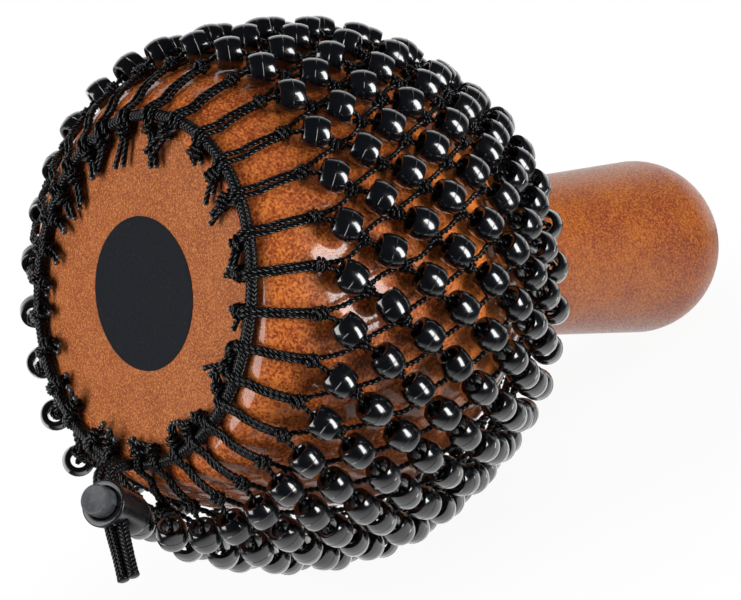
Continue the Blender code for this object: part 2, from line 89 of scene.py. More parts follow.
lens = bpy.data.cameras.new("camera")
lens.lens, lens.sensor_width = FOCAL_LENGTH, SENSOR_WIDTH
camera = bpy.data.objects.new("camera", lens)
bpy.context.scene.collection.objects.link(camera)
camera.matrix_world = CAMERA
bpy.context.scene.camera = camera
bpy.context.scene.view_settings.view_transform = "Standard"
print("camera height above the floor in mm:", round(camera.location.z / MM))

# %% [markdown]
# ## Shader nodes written as sums
# A finish reads best as arithmetic. A small class wraps an output socket, so that `1 - mask` or
# `grain * 0.2` adds the Math nodes by itself. Colours are blended with Mix nodes, because a Math node
# would turn them grey. Every other kind of node comes from one method.


# %% Sockets
class Socket:
    """An output socket that Python's operators work on."""

    def __init__(self, tree, output):
        self.tree = tree
        self.output = output

    def math(self, operation, *values):
        return self.tree.node("ShaderNodeMath", {"operation": operation}, dict(enumerate(values)))

    def __add__(self, other):
        return self.math("ADD", self, other)

    def __radd__(self, other):
        return self.math("ADD", other, self)

    def __sub__(self, other):
        return self.math("SUBTRACT", self, other)

    def __rsub__(self, other):
        return self.math("SUBTRACT", other, self)

    def __mul__(self, other):
        return self.math("MULTIPLY", self, other)

    def __rmul__(self, other):
        return self.math("MULTIPLY", other, self)

    def larger(self, other):
        return self.math("MAXIMUM", self, other)

    def step(self, low, high):
        """0 below low, 1 above high, and smooth between them."""
        settings = {"interpolation_type": "SMOOTHSTEP"}
        return self.tree.node("ShaderNodeMapRange", settings, {0: self, 1: low, 2: high})


print("operators ready:", [name for name in vars(Socket) if name.endswith(("add__", "sub__", "mul__"))])


# %% Node trees
class Tree:
    """A node tree that nodes are added to."""

    def __init__(self, owner):
        owner.use_nodes = True
        self.nodes = owner.node_tree.nodes
        self.links = owner.node_tree.links

    def fill(self, node, sockets):
        for key, value in sockets.items():
            if isinstance(value, Socket):
                self.links.new(value.output, node.inputs[key])
            elif isinstance(value, tuple) and len(node.inputs[key].default_value) == 4:
                node.inputs[key].default_value = (*value, 1.0)
            else:
                node.inputs[key].default_value = value

    def node(self, kind, settings=None, sockets=None, output=0):
        """Any node: its type, its settings, then the values or links of its sockets."""
        node = self.nodes.new(kind)
        for name, value in (settings or {}).items():
            setattr(node, name, value)
        self.fill(node, sockets or {})
        return Socket(self, node.outputs[output])

    def mix(self, share, first, second):
        """A colour between two others."""
        return self.node("ShaderNodeMix", {"data_type": "RGBA"}, {0: share, 6: first, 7: second}, 2)

    def mix_shader(self, share, first, second):
        return self.node("ShaderNodeMixShader", None, {0: share, 1: first, 2: second})

    def place(self):
        return self.node("ShaderNodeTexCoord", output="Object")

    def dot(self, first, second):
        return self.node("ShaderNodeVectorMath", {"operation": "DOT_PRODUCT"}, {0: first, 1: second}, "Value")

    def noise(self, size, detail=2.0, rough=0.5):
        """Noise with blotches of about this size in metres."""
        sockets = {"Vector": self.place(), "Scale": 1 / size, "Detail": detail, "Roughness": rough}
        return self.node("ShaderNodeTexNoise", None, sockets)

    def bump(self, height, depth):
        return self.node("ShaderNodeBump", None, {"Height": height, "Distance": depth}, "Normal")


def finish_named(name):
    material = bpy.data.materials.new(name)
    return material, Tree(material)


def surface(tree, **values):
    """Sets the main shader's sockets, named with underscores for spaces."""
    shader = tree.nodes["Principled BSDF"]
    spelled = {name.replace("_", " ").title().replace("Ior", "IOR"): value for name, value in values.items()}
    tree.fill(shader, spelled)


print("nodes by name:", [name for name in vars(Tree) if not name.startswith("__")])

# %% [markdown]
# ## Studio
# The instrument lies on a round white table. A soft box to the right of the camera is the main light, and a
# second one fills in from the left. A third hangs above and is kept out of reflections, because on glossy
# beads it would show as a row of grey squares. To the camera the table is white, with a faint shadow. In
# reflections it is white close to the instrument and dim further out, and the rest of the room is dim too
# apart from a backdrop, so that black plastic stays black.

# %% Lights
MIDDLE = INSTRUMENT @ Vector((0, 0, 70 * MM))
LIGHT_DISTANCE = 1.1
WHITE = (1.0, 1.0, 1.0)


def add_soft_box(name, sideways, upwards, size, watts):
    """A soft box that faces the instrument, placed by degrees to the right of the camera and above it."""
    side, rise = math.radians(sideways), math.radians(upwards)
    way = Vector((math.sin(side) * math.cos(rise), math.sin(rise), math.cos(side) * math.cos(rise)))
    towards = CAMERA.to_3x3() @ way
    data = bpy.data.lights.new(name, "AREA")
    data.shape = "RECTANGLE"
    data.size, data.size_y = size
    data.energy = watts
    light = bpy.data.objects.new(name, data)
    bpy.context.scene.collection.objects.link(light)
    light.location = MIDDLE + towards * LIGHT_DISTANCE
    light.rotation_euler = towards.to_track_quat("Z", "Y").to_euler()
    light.visible_camera = False
    return light


add_soft_box("main soft box", 54, -6, (0.42, 1.2), 18.0)
add_soft_box("left soft box", -64, -6, (0.65, 1.3), 14.0)
add_soft_box("top soft box", 10, 68, (1.0, 0.8), 5.5).visible_glossy = False

# %% Table and room
TABLE_RADIUS, TABLE_SIDES, TABLE_WHITE, TABLE_ROUGHNESS = 0.18, 96, (0.9, 0.9, 0.9), 0.9
SHADOW, SHADOW_FROM, SHADOW_END = 0.06, 0.08**2, 0.97 * TABLE_RADIUS**2
WHITE_NEAR, DIM_FAR, LENGTHWISE_SHARE = 0.045**2, 0.12**2, 0.35
TABLE_DIM, ROOM_DIM = 0.03, 0.025
BACKDROP_EDGE, BACKDROP_FULL = 0.25, 0.7


def full_turn(count):
    """The evenly spread angles of a whole turn."""
    return 2 * np.pi * np.arange(count) / count


def light_path(tree, kind):
    return tree.node("ShaderNodeLightPath", output=kind)


def mirrored(tree):
    return light_path(tree, "Is Glossy Ray").larger(light_path(tree, "Is Transmission Ray"))


def table_finish():
    """It glows white to the camera, and in reflections it glows white close by and dim further out. The steps
    are of squared distances from the middle.
    """
    material, tree = finish_named("white table")
    surface(tree, base_color=TABLE_WHITE, roughness=TABLE_ROUGHNESS)
    lit = Socket(tree, tree.nodes["Principled BSDF"].outputs[0])
    glow, gloom = (
        tree.node("ShaderNodeEmission", None, {"Color": WHITE, "Strength": strength})
        for strength in (1.0, TABLE_DIM)
    )
    length = Vector((axis[0], axis[1], 0)).normalized()
    width = Vector((-length.y, length.x, 0))
    u, v = (tree.dot(tree.place(), tuple(way)) - MIDDLE.dot(way) for way in (length, width))
    shown_white = 1 - SHADOW + SHADOW * (u * u + v * v).step(SHADOW_FROM, SHADOW_END)
    near = (LENGTHWISE_SHARE * u * u + v * v).step(DIM_FAR, WHITE_NEAR)
    seen = tree.mix_shader(shown_white * light_path(tree, "Is Camera Ray"), lit, glow)
    shown = tree.mix_shader(mirrored(tree), seen, tree.mix_shader(near, gloom, glow))
    tree.links.new(shown.output, tree.nodes["Material Output"].inputs["Surface"])
    return material


def add_table():
    mesh = bpy.data.meshes.new("table")
    turns = full_turn(TABLE_SIDES)
    rim = [(MIDDLE.x + TABLE_RADIUS * math.cos(a), MIDDLE.y + TABLE_RADIUS * math.sin(a), 0) for a in turns]
    mesh.from_pydata(rim, [], [list(range(len(rim)))])
    mesh.materials.append(table_finish())
    table = bpy.data.objects.new("table", mesh)
    bpy.context.scene.collection.objects.link(table)
    return table


def light_room():
    """A dim room, white to the camera, with a white backdrop behind the table for reflections."""
    world = bpy.context.scene.world or bpy.data.worlds.new("room")
    bpy.context.scene.world = world
    tree = Tree(world)
    behind = -CAMERA.to_3x3().col[2]
    facing = tree.dot(tree.node("ShaderNodeTexCoord", output="Generated"), tuple(behind))
    backdrop = mirrored(tree) * facing.step(BACKDROP_EDGE, BACKDROP_FULL)
    strength = light_path(tree, "Is Camera Ray").larger(backdrop).larger(ROOM_DIM)
    tree.fill(tree.nodes["Background"], {"Color": WHITE, "Strength": strength})


light_room()
print("table across in mm:", round(1000 * max(add_table().dimensions)))

# %% [markdown]
# ## Turned, swept and gathered meshes
# Three ways of making cover the whole instrument. A profile turned about Z makes the shell, the beads and
# the lock. A ring swept along a path makes one yarn. A heap gathers the many small forms of one piece, so
# that a whole round of knots is one mesh.


# %% Gathered and turned meshes
class Heap:
    """The points and faces of many small forms, gathered into one mesh."""

    def __init__(self):
        self.points, self.faces, self.finishes, self.count = [], [], [], 0

    def add(self, points, faces, finish=0):
        self.points.append(np.asarray(points, float))
        self.faces.extend([[corner + self.count for corner in face] for face in faces])
        self.finishes.extend([finish] * len(faces))
        self.count += len(points)

    def make(self, name, *materials, matrix=INSTRUMENT, crease=40):
        """One object. Its points are carried from their own frame to the world."""
        mesh = bpy.data.meshes.new(name)
        carry = np.array(matrix)
        points = np.concatenate(self.points) @ carry[:3, :3].T + carry[:3, 3]
        mesh.from_pydata(points.tolist(), [], self.faces)
        for material in materials:
            mesh.materials.append(material)
        mesh.polygons.foreach_set("material_index", self.finishes)
        mesh.shade_smooth()
        mesh.set_sharp_from_angle(angle=math.radians(crease))
        piece = bpy.data.objects.new(name, mesh)
        bpy.context.scene.collection.objects.link(piece)
        return piece


def single(name, form, *materials, **options):
    """An object made of one form."""
    heap = Heap()
    heap.add(*form)
    return heap.make(name, *materials, **options)


def lathe(profile, sides, closed=False):
    """A profile of (radius, z) turned about Z. It runs down the outer side, and may end on the axis."""
    angles = full_turn(sides)
    circle = np.column_stack([np.cos(angles), np.sin(angles)])
    points, rings = [], []
    for radius, z in profile:
        first = len(points)
        if radius < 1e-7:
            points.append((0.0, 0.0, z))
            rings.append([first] * sides)
        else:
            points.extend((x * radius, y * radius, z) for x, y in circle)
            rings.append(list(range(first, first + sides)))
    faces = []
    for upper, lower in zip(rings, rings[1:] + rings[:1] if closed else rings[1:]):
        for i in range(sides):
            j = (i + 1) % sides
            corners = list(dict.fromkeys([upper[i], lower[i], lower[j], upper[j]]))
            if len(corners) > 2:
                faces.append(corners)
    return np.array(points), faces


print("test cone:", len(lathe([(0, 1), (1, 0), (0, 0)], 8)[1]), "faces")


# %% Smooth paths
def walked(path):
    """The way covered at each point of a path."""
    return np.concatenate([[0.0], np.cumsum(np.linalg.norm(np.diff(path, axis=0), axis=1))])


def unit(vectors):
    return vectors / np.linalg.norm(vectors, axis=-1, keepdims=True)


def hermite(t, start, start_way, end, end_way):
    """Points of a curve that leaves one place along a way and comes to another along a way."""
    return (
        start * (2 * t**3 - 3 * t**2 + 1)
        + start_way * (t**3 - 2 * t**2 + t)
        + end * (3 * t**2 - 2 * t**3)
        + end_way * (t**3 - t**2)
    )


def smooth(points, step, closed=False):
    """An even path through the points, with a point about every step."""
    points = np.array([tuple(point) for point in points])
    if closed:
        before, after = points[-1:], points[:2]
    else:
        before, after = 2 * points[:1] - points[1:2], 2 * points[-1:] - points[-2:-1]
    padded = np.concatenate([before, points, after])
    # Time goes by the root of the distance, which keeps the curve from swinging out at close points.
    time = np.concatenate([[0.0], np.cumsum(np.linalg.norm(np.diff(padded, axis=0), axis=1) ** 0.5)])
    ways = (padded[2:] - padded[:-2]) / (time[2:] - time[:-2])[:, None]
    share = np.linspace(0, 1, 9)[:-1, None]
    dense = []
    for i, (way, next_way) in enumerate(zip(ways, ways[1:]), start=1):
        span = time[i + 1] - time[i]
        dense.append(hermite(share, padded[i], way * span, padded[i + 1], next_way * span))
    dense = np.concatenate([*dense, padded[-2:-1]])
    length = walked(dense)
    count = max(3, round(length[-1] / step))
    even = np.linspace(0, length[-1], count + 1)
    if closed:
        even = even[:-1]
    return np.column_stack([np.interp(even, length, dense[:, k]) for k in range(3)])


def carried(path, closed=False):
    """Two directions across a path at each of its points, carried along it without twist."""
    ahead = np.roll(path, -1, axis=0) - np.roll(path, 1, axis=0)
    if not closed:
        ahead[0], ahead[-1] = path[1] - path[0], path[-1] - path[-2]
    ahead = unit(ahead)
    first = np.eye(3)[np.argmin(np.abs(ahead[0]))]
    first = unit(first - ahead[0] * first.dot(ahead[0]))
    across = [first]
    for way in ahead[1:]:
        moved = across[-1] - way * across[-1].dot(way)
        across.append(moved / math.sqrt(moved.dot(moved)))
    across = np.array(across)
    if closed:
        last = across[-1] - ahead[0] * across[-1].dot(ahead[0])
        gap = math.atan2(np.cross(ahead[0], last).dot(first), last.dot(first))
        angle = gap * np.arange(len(path))[:, None] / len(path)
        across = across * np.cos(angle) + np.cross(ahead, across) * np.sin(angle)
    return across, np.cross(ahead, across)


print("points of a test path:", len(smooth(np.eye(3), 0.1)))

# %% Tubes and ropes
YARN_SWELL = 1.08


def tube(path, radius, sides, closed=False):
    """A round bar along a path, with flat ends unless it closes."""
    first, second = carried(path, closed)
    angle = full_turn(sides)
    radius = np.broadcast_to(radius, len(path))[:, None, None]
    ring = first[:, None] * np.cos(angle)[:, None] + second[:, None] * np.sin(angle)[:, None]
    points = (path[:, None] + ring * radius).reshape(-1, 3)
    rows = np.arange(len(path) if closed else len(path) - 1)[:, None]
    step = np.arange(sides)
    after, beside = (rows + 1) % len(path) * sides, (step + 1) % sides
    quads = np.stack([rows * sides + step, rows * sides + beside, after + beside, after + step], axis=-1)
    faces = quads.reshape(-1, 4).tolist()
    if not closed:
        faces.append(list(reversed(range(sides))))
        faces.append(list(range(len(points) - sides, len(points))))
    return points, faces


def add_rope(heap, path, radius, plies, lay, sides=5, closed=False, start=0.0):
    """Yarns twisted round each other along a path. The lay is the length of one full turn."""
    length = walked(np.concatenate([path, path[:1]]) if closed else path)
    if closed:
        lay = length[-1] / round(length[-1] / lay)
        length = length[:-1]
    share = math.sin(math.pi / plies)
    yarn = radius * share / (1 + share)
    first, second = carried(path, closed)
    for ply in range(plies):
        angle = (2 * np.pi * (length / lay + ply / plies) + start)[:, None]
        winding = path + (radius - yarn) * (first * np.cos(angle) + second * np.sin(angle))
        heap.add(*tube(winding, YARN_SWELL * yarn, sides, closed))


ring_points, ring_faces = tube(smooth(np.eye(3), 0.1, closed=True), 0.01, 6, closed=True)
print("test ring:", len(ring_points), "points,", len(ring_faces), "faces")

# %% [markdown]
# ## The shell's shape and the rule of the net
# The shell's outline is a full shoulder, a belly that runs into the neck, and a tapered handle with a round
# end. The net is one rule over that surface. A column of knots stands every 12 degrees, each row is half a
# column further round, and the rows close up towards the neck. The net hangs slack on the underside, sits a
# little askew, and has slipped round the shell one way, but beside the cord lock the other way.

# %% The shell's shape
FACE_RADIUS, FACE_LAND_RADIUS = 44 * MM, 30 * MM
BELLY_RADIUS, BELLY_PLACE = 63 * MM, 53 * MM
NECK_PLACE, NECK_SHAPE, SHOULDER_SHAPE = 126 * MM, 1.3, 0.86
HANDLE_RADIUS, HANDLE_PLACE, HANDLE_TAPER, HANDLE_DOME = 25.5 * MM, 186 * MM, 0.06, 25 * MM
WALL, CAP_THICKNESS, CAP_LEDGE = 2.5 * MM, 2.5 * MM, 3 * MM
CLEARANCE, SLOPE_STEP = 0.35 * MM, 0.5 * MM


def handle_radius(z):
    return HANDLE_RADIUS - HANDLE_TAPER * (HANDLE_PLACE - z)


def outer_profile(front, back, dome):
    """(radius, z) from the edge of the face to the end of the handle."""
    quarter = np.pi / 2
    a = quarter * np.arange(front) / front
    fullness = (BELLY_RADIUS - FACE_RADIUS) * np.sin(a) ** SHOULDER_SHAPE
    shoulder = np.column_stack([FACE_RADIUS + fullness, BELLY_PLACE * (1 - np.cos(a))])
    share = np.sin(quarter * np.arange(back) / back)
    z = BELLY_PLACE + (NECK_PLACE - BELLY_PLACE) * share
    swell = BELLY_RADIUS - handle_radius(BELLY_PLACE)
    belly = np.column_stack([handle_radius(z) + swell * (1 - share**2) ** NECK_SHAPE, z])
    straight = np.linspace(NECK_PLACE, HANDLE_PLACE, 8)[:-1]
    handle = np.column_stack([handle_radius(straight), straight])
    a = quarter * np.arange(dome + 1) / dome
    end = np.column_stack([HANDLE_RADIUS * np.cos(a), HANDLE_PLACE + HANDLE_DOME * np.sin(a)])
    end[-1, 0] = 0.0
    return np.concatenate([shoulder, belly, handle, end])


class Skin:
    """The outer surface, measured by the run along it from the edge of the face, on which it is below 0."""

    def __init__(self):
        halfway = (FACE_RADIUS - CLEARANCE + FACE_LAND_RADIUS) / 2
        front = [(0, -FACE_CROWN), (FACE_LAND_RADIUS, -FACE_CROWN), (halfway, -0.7 * FACE_CROWN)]
        self.outline = np.concatenate([front, outer_profile(60, 90, 30)])
        self.run = walked(self.outline)
        self.run = self.run - self.run[len(front)]

    def at(self, run):
        return np.array([np.interp(run, self.run, self.outline[:, k]) for k in range(2)])

    def point(self, run, height, azimuth, slack=0.0):
        """The point this high above the surface, and there the directions out, along and round."""
        radius, z = self.at(run)
        along_r, along_z = unit(self.at(run + SLOPE_STEP) - self.at(run - SLOPE_STEP))
        spoke, up = np.array([math.cos(azimuth), math.sin(azimuth), 0.0]), np.array([0.0, 0.0, 1.0])
        out = spoke * along_z - up * along_r
        along = spoke * along_r + up * along_z
        return spoke * (radius + slack) + up * z + out * height, out, along, np.cross(up, spoke)


SKIN = Skin()
print("run from the face's edge to the handle's end in mm:", round(SKIN.run[-1] / MM, 1))

# %% The rule of the net
SPOKES, BEAD_ROWS = 30, 9
SPOKE_STEP, LATTICE_TURN = 2 * math.pi / SPOKES, math.radians(9)
FIRST_ROW_PITCH, LAST_ROW_PITCH, SPOKE_RUN = 11.2 * MM, 9 * MM, 19.5 * MM
NET_SLACK, SLACK_RUN, SLACK_TURN = 8.6 * MM, 17.5 * MM, math.radians(20)
SLACK_UNDER, SLACK_LEAN, SLACK_FULLNESS = 1.5, 0.7, 0.75
NET_SHIFT, NET_SKEW, NET_SAG = 2.4 * MM, 5.5 * MM, math.radians(4)
LATTICE_DRIFT, LOCK_TURN = math.radians(6.6), math.radians(10.5)
NET_HOLD, LOOP_HOLD = 1.5, 0.9
NECK_CORD_RUN, NECK_CORD_RADIUS = 143 * MM, 1.5 * MM


def knot_run(row):
    closing = (FIRST_ROW_PITCH - LAST_ROW_PITCH) / (BEAD_ROWS - 1)
    return SPOKE_RUN + row * FIRST_ROW_PITCH - closing * row * (row - 1) / 2


def underside(azimuth):
    """1 where the net hangs lowest, 0 on the opposite side."""
    return (1 + math.cos(azimuth - SLACK_TURN)) / 2


def net_slack(run, azimuth):
    share = min(max((run - SLACK_RUN) / (NECK_CORD_RUN - SLACK_RUN), 0.0), 1.0)
    hang = math.sin(math.pi * share**SLACK_LEAN) ** SLACK_FULLNESS
    return NET_SLACK * underside(azimuth) ** SLACK_UNDER * hang


def skewed(run, azimuth):
    share = (run - SPOKE_RUN) / (NECK_CORD_RUN - SPOKE_RUN)
    return run - (1 - share**2) * (NET_SHIFT + NET_SKEW * math.cos(azimuth - SLACK_TURN))


def lattice_azimuth(column, hold=NET_HOLD):
    """Where a column of knots lies. The net has slipped round; above 1, hold turns that back at the lock."""
    azimuth = LATTICE_TURN + column * SPOKE_STEP
    return azimuth + LATTICE_DRIFT * (1 - hold * max(0.0, math.cos(azimuth - LOCK_TURN)) ** 2)


def net_point(run, height, column):
    """A point over the shell. At its sides the net sags, most in the middle rows."""
    azimuth = lattice_azimuth(column)
    share = min(max((run - SPOKE_RUN) / (NECK_CORD_RUN - SPOKE_RUN), 0.0), 1.0)
    azimuth -= NET_SAG * math.sin(math.pi * share) * math.sin(azimuth)
    return SKIN.point(skewed(run, azimuth), height, azimuth, net_slack(run, azimuth))


print("rows of knots at, in mm:", [round(knot_run(row) / MM, 1) for row in range(BEAD_ROWS + 1)])

# %% [markdown]
# ## Lacquered shell
# The shell is moulded and sprayed: a brown ground, a coat full of dark and golden flakes, and clear lacquer
# on top.
# The ground is painted brighter orange on the belly. That is painted light, standing for light that falls on
# the shell between the beads. The belly is glossy and the handle satin, with a finer grain. The flakes are
# under a millimetre, so they come from fine noise at several sizes. The lacquer is a clear coat with a slight
# ripple, which breaks up the edges of reflections.

# %% Lacquer
FINE_FLAKE, COARSE_FLAKE, HANDLE_FLAKE = 0.75 * MM, 1.9 * MM, 0.6 * MM
CLOUD, RIPPLE, RIPPLE_DEPTH = 16 * MM, 1.6 * MM, 0.02 * MM
HANDLE_FADE, PAINTED_LIGHT_FADE, CALM_FADE = (105 * MM, 128 * MM), (36 * MM, 66 * MM), (45 * MM, 70 * MM)
SHOULDER_BROWNS = (0.37, 0.074, 0.018), (0.5, 0.124, 0.026)
HANDLE_BROWNS = (0.32, 0.07, 0.021), (0.44, 0.118, 0.021)
BELLY_PAINTED_LIGHT, DARK_FLAKE, BRIGHT_FLAKE = (0.86, 0.235, 0.045), (0.18, 0.03, 0.006), (0.66, 0.21, 0.04)
COLOUR_SHARE = 0.85


def lacquer(name, coat_roughness, shine):
    """Flakes under clear lacquer, on a ground painted brighter on the belly as painted light. Towards the
    handle they are calmer.
    """
    material, tree = finish_named(name)
    along = tree.dot(tree.place(), tuple(axis)) - origin.dot(axis)
    handle = along.step(*HANDLE_FADE)
    fine = tree.noise(FINE_FLAKE, 2.0, 0.6)
    clouds = tree.noise(CLOUD, 3.0, 0.6)
    flakes = 0.8 * fine + 0.2 * tree.noise(COARSE_FLAKE, 2.0, 0.5)
    flakes = flakes + handle * (tree.noise(HANDLE_FLAKE, 2.0, 0.65) - flakes)
    calm = 1 - 0.3 * along.step(*CALM_FADE)
    ground = tree.mix(clouds.step(0.35, 0.65), *SHOULDER_BROWNS)
    # The brighter orange on the belly is painted light: it stands in for light falling on the shell between
    # the beads.
    ground = tree.mix(COLOUR_SHARE * along.step(*PAINTED_LIGHT_FADE), ground, BELLY_PAINTED_LIGHT)
    ground = tree.mix(handle, ground, tree.mix(clouds.step(0.38, 0.62), *HANDLE_BROWNS))
    dark, bright = flakes.step(0.5, 0.39) * calm, flakes.step(0.5, 0.6) * calm
    speckled = tree.mix(COLOUR_SHARE * dark, ground, DARK_FLAKE)
    colour = tree.mix(COLOUR_SHARE * bright, speckled, BRIGHT_FLAKE)
    ripple = tree.bump(tree.noise(RIPPLE, 3.0, 0.6), RIPPLE_DEPTH)
    coat = shine * (0.37 + 0.63 * fine.step(0.62, 0.5))
    surface(tree, base_color=colour, roughness=0.45, coat_weight=coat, normal=ripple)
    surface(tree, coat_roughness=coat_roughness, specular_ior_level=0.2)
    return material


glossy = lacquer("speckled lacquer", 0.08, 0.95)
satin = lacquer("satin handle lacquer", 0.32, 0.9)
print("nodes in a lacquer:", len(glossy.node_tree.nodes))

# %% Shell
COAT_EDGE, SHELL_SIDES = 116 * MM, 160


def add_shell():
    """A hollow turned body with a seat for the face. Behind the edge of the gloss it is satin."""
    seat, ledge = CAP_THICKNESS + CLEARANCE, FACE_RADIUS - CAP_LEDGE
    outside, coarse = outer_profile(28, 48, 20), outer_profile(14, 20, 8)
    slope = unit(np.gradient(coarse, axis=0))
    inside = coarse + WALL * np.column_stack([-slope[:, 1], slope[:, 0]])
    inside = inside[inside[:, 1] > seat + 1.5 * WALL]
    inside[-1] = (0.0, HANDLE_PLACE + HANDLE_DOME - WALL)
    rim = [(FACE_RADIUS, seat), (ledge, seat), (ledge, seat + WALL)]
    heap = Heap()
    points, faces = lathe([*map(tuple, outside[::-1]), *rim, *map(tuple, inside)], SHELL_SIDES)
    heap.add(points, faces)
    heap.finishes = [int(points[face[0]][2] > COAT_EDGE) for face in faces]
    return heap.make("shell_lacquered", glossy, satin)


def dress(piece, body, slot, *nodes):
    """A piece rides on a body and stands for solids. Its slot is not used."""
    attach(piece, body)
    if nodes:
        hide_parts(*nodes)
    return piece


shell = dress(add_shell(), "shell", "shell_lacquer", "shell")
print("shell:", len(shell.data.polygons), "faces")

# %% [markdown]
# ## Face and label
# The flat front is glued in and has only a satin coat, so it shows finer brown specks and hardly any
# reflections. A plain black disc is stuck on its middle.

# %% Face and label
FACE_BROWNS = (0.345, 0.088, 0.023), (0.415, 0.115, 0.032)
FACE_DARK, FACE_BRIGHT = (0.19, 0.043, 0.01), (0.64, 0.26, 0.072)
LABEL_BLACKS = (0.013, 0.015, 0.019), (0.022, 0.025, 0.03)
SPECK, FACE_CLOUD, SPECK_DEPTH = 0.5 * MM, 9 * MM, 0.02 * MM
FACE_GAP, FACE_BEVEL, CROWN_FROM, FACE_SIDES = 0.03 * MM, 0.12 * MM, 0.5 * MM, 128
LABEL_RADIUS, LABEL_THICKNESS, LABEL_GAP, THIN_BEVEL = 20.6 * MM, 0.22 * MM, 0.02 * MM, 0.1 * MM


def satin_face():
    material, tree = finish_named("satin face")
    specks = tree.noise(SPECK, 2.0, 0.6)
    ground = tree.mix(tree.noise(FACE_CLOUD, 2.0, 0.5).step(0.3, 0.7), *FACE_BROWNS)
    colour = tree.mix(0.75 * specks.step(0.5, 0.38), ground, FACE_DARK)
    colour = tree.mix(0.8 * specks.step(0.52, 0.64), colour, FACE_BRIGHT)
    surface(tree, base_color=colour, roughness=0.5, specular_ior_level=0.2)
    surface(tree, normal=tree.bump(specks, SPECK_DEPTH))
    return material


def black_label():
    material, tree = finish_named("black label")
    wear = tree.noise(SPECK, 2.0, 0.6)
    surface(tree, base_color=tree.mix(wear.step(0.55, 0.75), *LABEL_BLACKS), roughness=0.14 + 0.12 * wear)
    return material


def add_face():
    radius = FACE_RADIUS - FACE_GAP
    land = [(radius, THIN_BEVEL), (radius - FACE_BEVEL, 0.0)]
    for share in np.linspace(0, 1, 8):
        crown = FACE_CROWN * math.sin(math.pi / 2 * share)
        land.append((radius - CROWN_FROM + (FACE_LAND_RADIUS - radius + CROWN_FROM) * share, -crown))
    profile = [(0, CAP_THICKNESS), (radius, CAP_THICKNESS), *land, (0, -FACE_CROWN)]
    return single("face_panel", lathe(profile, FACE_SIDES), satin_face())


def add_label():
    top = -FACE_CROWN - LABEL_GAP
    low = top - LABEL_THICKNESS
    edge = [(LABEL_RADIUS, top), (LABEL_RADIUS, low + THIN_BEVEL), (LABEL_RADIUS - THIN_BEVEL, low)]
    return single("label_disc", lathe([(0, top), *edge, (0, low)], FACE_SIDES), black_label())


face = dress(add_face(), "shell", "shell_lacquer", "front_cap")
label = dress(add_label(), "shell", "shell_lacquer")
print("face and label:", len(face.data.polygons), len(label.data.polygons), "faces")

# %% [markdown]
# ## Beads
# The beads are pony beads: short moulded barrels with a wide hole, crisp flat ends and a fine parting line
# round the middle, where the mould closes. One closed profile is turned once, and each bead is a shifted
# and slightly tilted copy on its strand. The loose ones on the underside tilt most.

# %% One bead
BEAD_BULGE, HOLE_RADIUS, BEAD_SIDES = 4.45 * MM, 2.25 * MM, 24
SIDE_REACH, SIDE_FALL, SIDE_CURVE = 3.2 * MM, 0.65 * MM, 2.3
BEAD_BLACK, SCUFF, SCUFF_DEPTH = (0.0025, 0.003, 0.0046), 2.5 * MM, 0.03 * MM


def black_plastic():
    material, tree = finish_named("bead plastic")
    scuff = tree.noise(SCUFF, 3.0, 0.6)
    surface(tree, base_color=BEAD_BLACK, roughness=0.17 + 0.12 * scuff.step(0.4, 0.8), ior=1.56)
    surface(tree, coat_weight=1.0, coat_roughness=0.08, normal=tree.bump(scuff, SCUFF_DEPTH))
    return material


def bead_profile():
    """A closed outline: a bulging side with a parting ridge, crisp flat ends, and the hole."""
    shares = (1.0, 0.88, 0.72, 0.55, 0.35, 0.08)
    side = [(BEAD_BULGE - SIDE_FALL * share**SIDE_CURVE, share * SIDE_REACH) for share in shares]
    rim = side[0][0]
    edge = [(rim - 0.26 * MM, 3.4 * MM), (rim - 0.09 * MM, 3.34 * MM)]
    lip = [(HOLE_RADIUS, 2.3 * MM), (HOLE_RADIUS + 0.1 * MM, 3.0 * MM), (HOLE_RADIUS + 0.4 * MM, 3.3 * MM)]
    ridge = [(BEAD_BULGE, 0.17 * MM), (BEAD_BULGE + 0.08 * MM, 0.06 * MM)]
    upper = [*lip, *edge, *side, *ridge]
    return [*upper, *((radius, -z) for radius, z in reversed(upper))]


BEAD = lathe(bead_profile(), BEAD_SIDES, closed=True)
print("faces of a bead:", len(BEAD[1]))

# %% Rounds of beads
BEAD_RADIUS, BEAD_LENGTH = 4.4 * MM, 6.2 * MM
CROWD_PITCH, CROWD_LIFT = 12.8 * MM, 0.9
BEAD_YAW, BEAD_TILT, UNDER_TILT, TILT_SPREAD = 0.16, 0.08, 0.22, 0.08
SLIDE_DOWN, SLIDE_SPREAD, LIFT_SPREAD = 0.4, 0.3, 0.1
DOWN = np.array([1.0, 0.0, 0.0])
rng = np.random.default_rng(7)


def bead_seat(run, column):
    """Where a bead sits: its middle, its way along the strand and its outward side."""
    before = net_point(run - FIRST_ROW_PITCH / 2, 0, column - 0.25)[0]
    after = net_point(run + FIRST_ROW_PITCH / 2, 0, column + 0.25)[0]
    radius = SKIN.at(skewed(run, lattice_azimuth(column)))[0]
    crowding = max(0.0, CROWD_PITCH - SPOKE_STEP * (radius + BEAD_RADIUS))
    place, out, _, _ = net_point(run, BEAD_RADIUS + CLEARANCE + CROWD_LIFT * crowding, column)
    way = unit(after - before)
    return place, way, unit(out - way * out.dot(way))


def jittered_seats(row):
    """The seats of a row, each a little off along its strand and turned, as loose beads lie."""
    run = (knot_run(row) + knot_run(row + 1)) / 2
    seats = []
    for spoke in range(SPOKES):
        column = spoke + row / 2 + 0.25
        place, way, up = bead_seat(run, column)
        side = np.cross(way, up)
        tilt = BEAD_TILT + UNDER_TILT * underside(lattice_azimuth(column))
        way = unit(way + side * rng.normal(0, BEAD_YAW) + up * rng.normal(tilt, TILT_SPREAD))
        slide = SLIDE_DOWN * np.clip(2 * way.dot(DOWN), -1, 1) + rng.normal(0, SLIDE_SPREAD)
        place = place + way * slide * MM + up * abs(rng.normal(0, LIFT_SPREAD)) * MM
        seats.append((place, way, unit(up - way * up.dot(way))))
    return seats


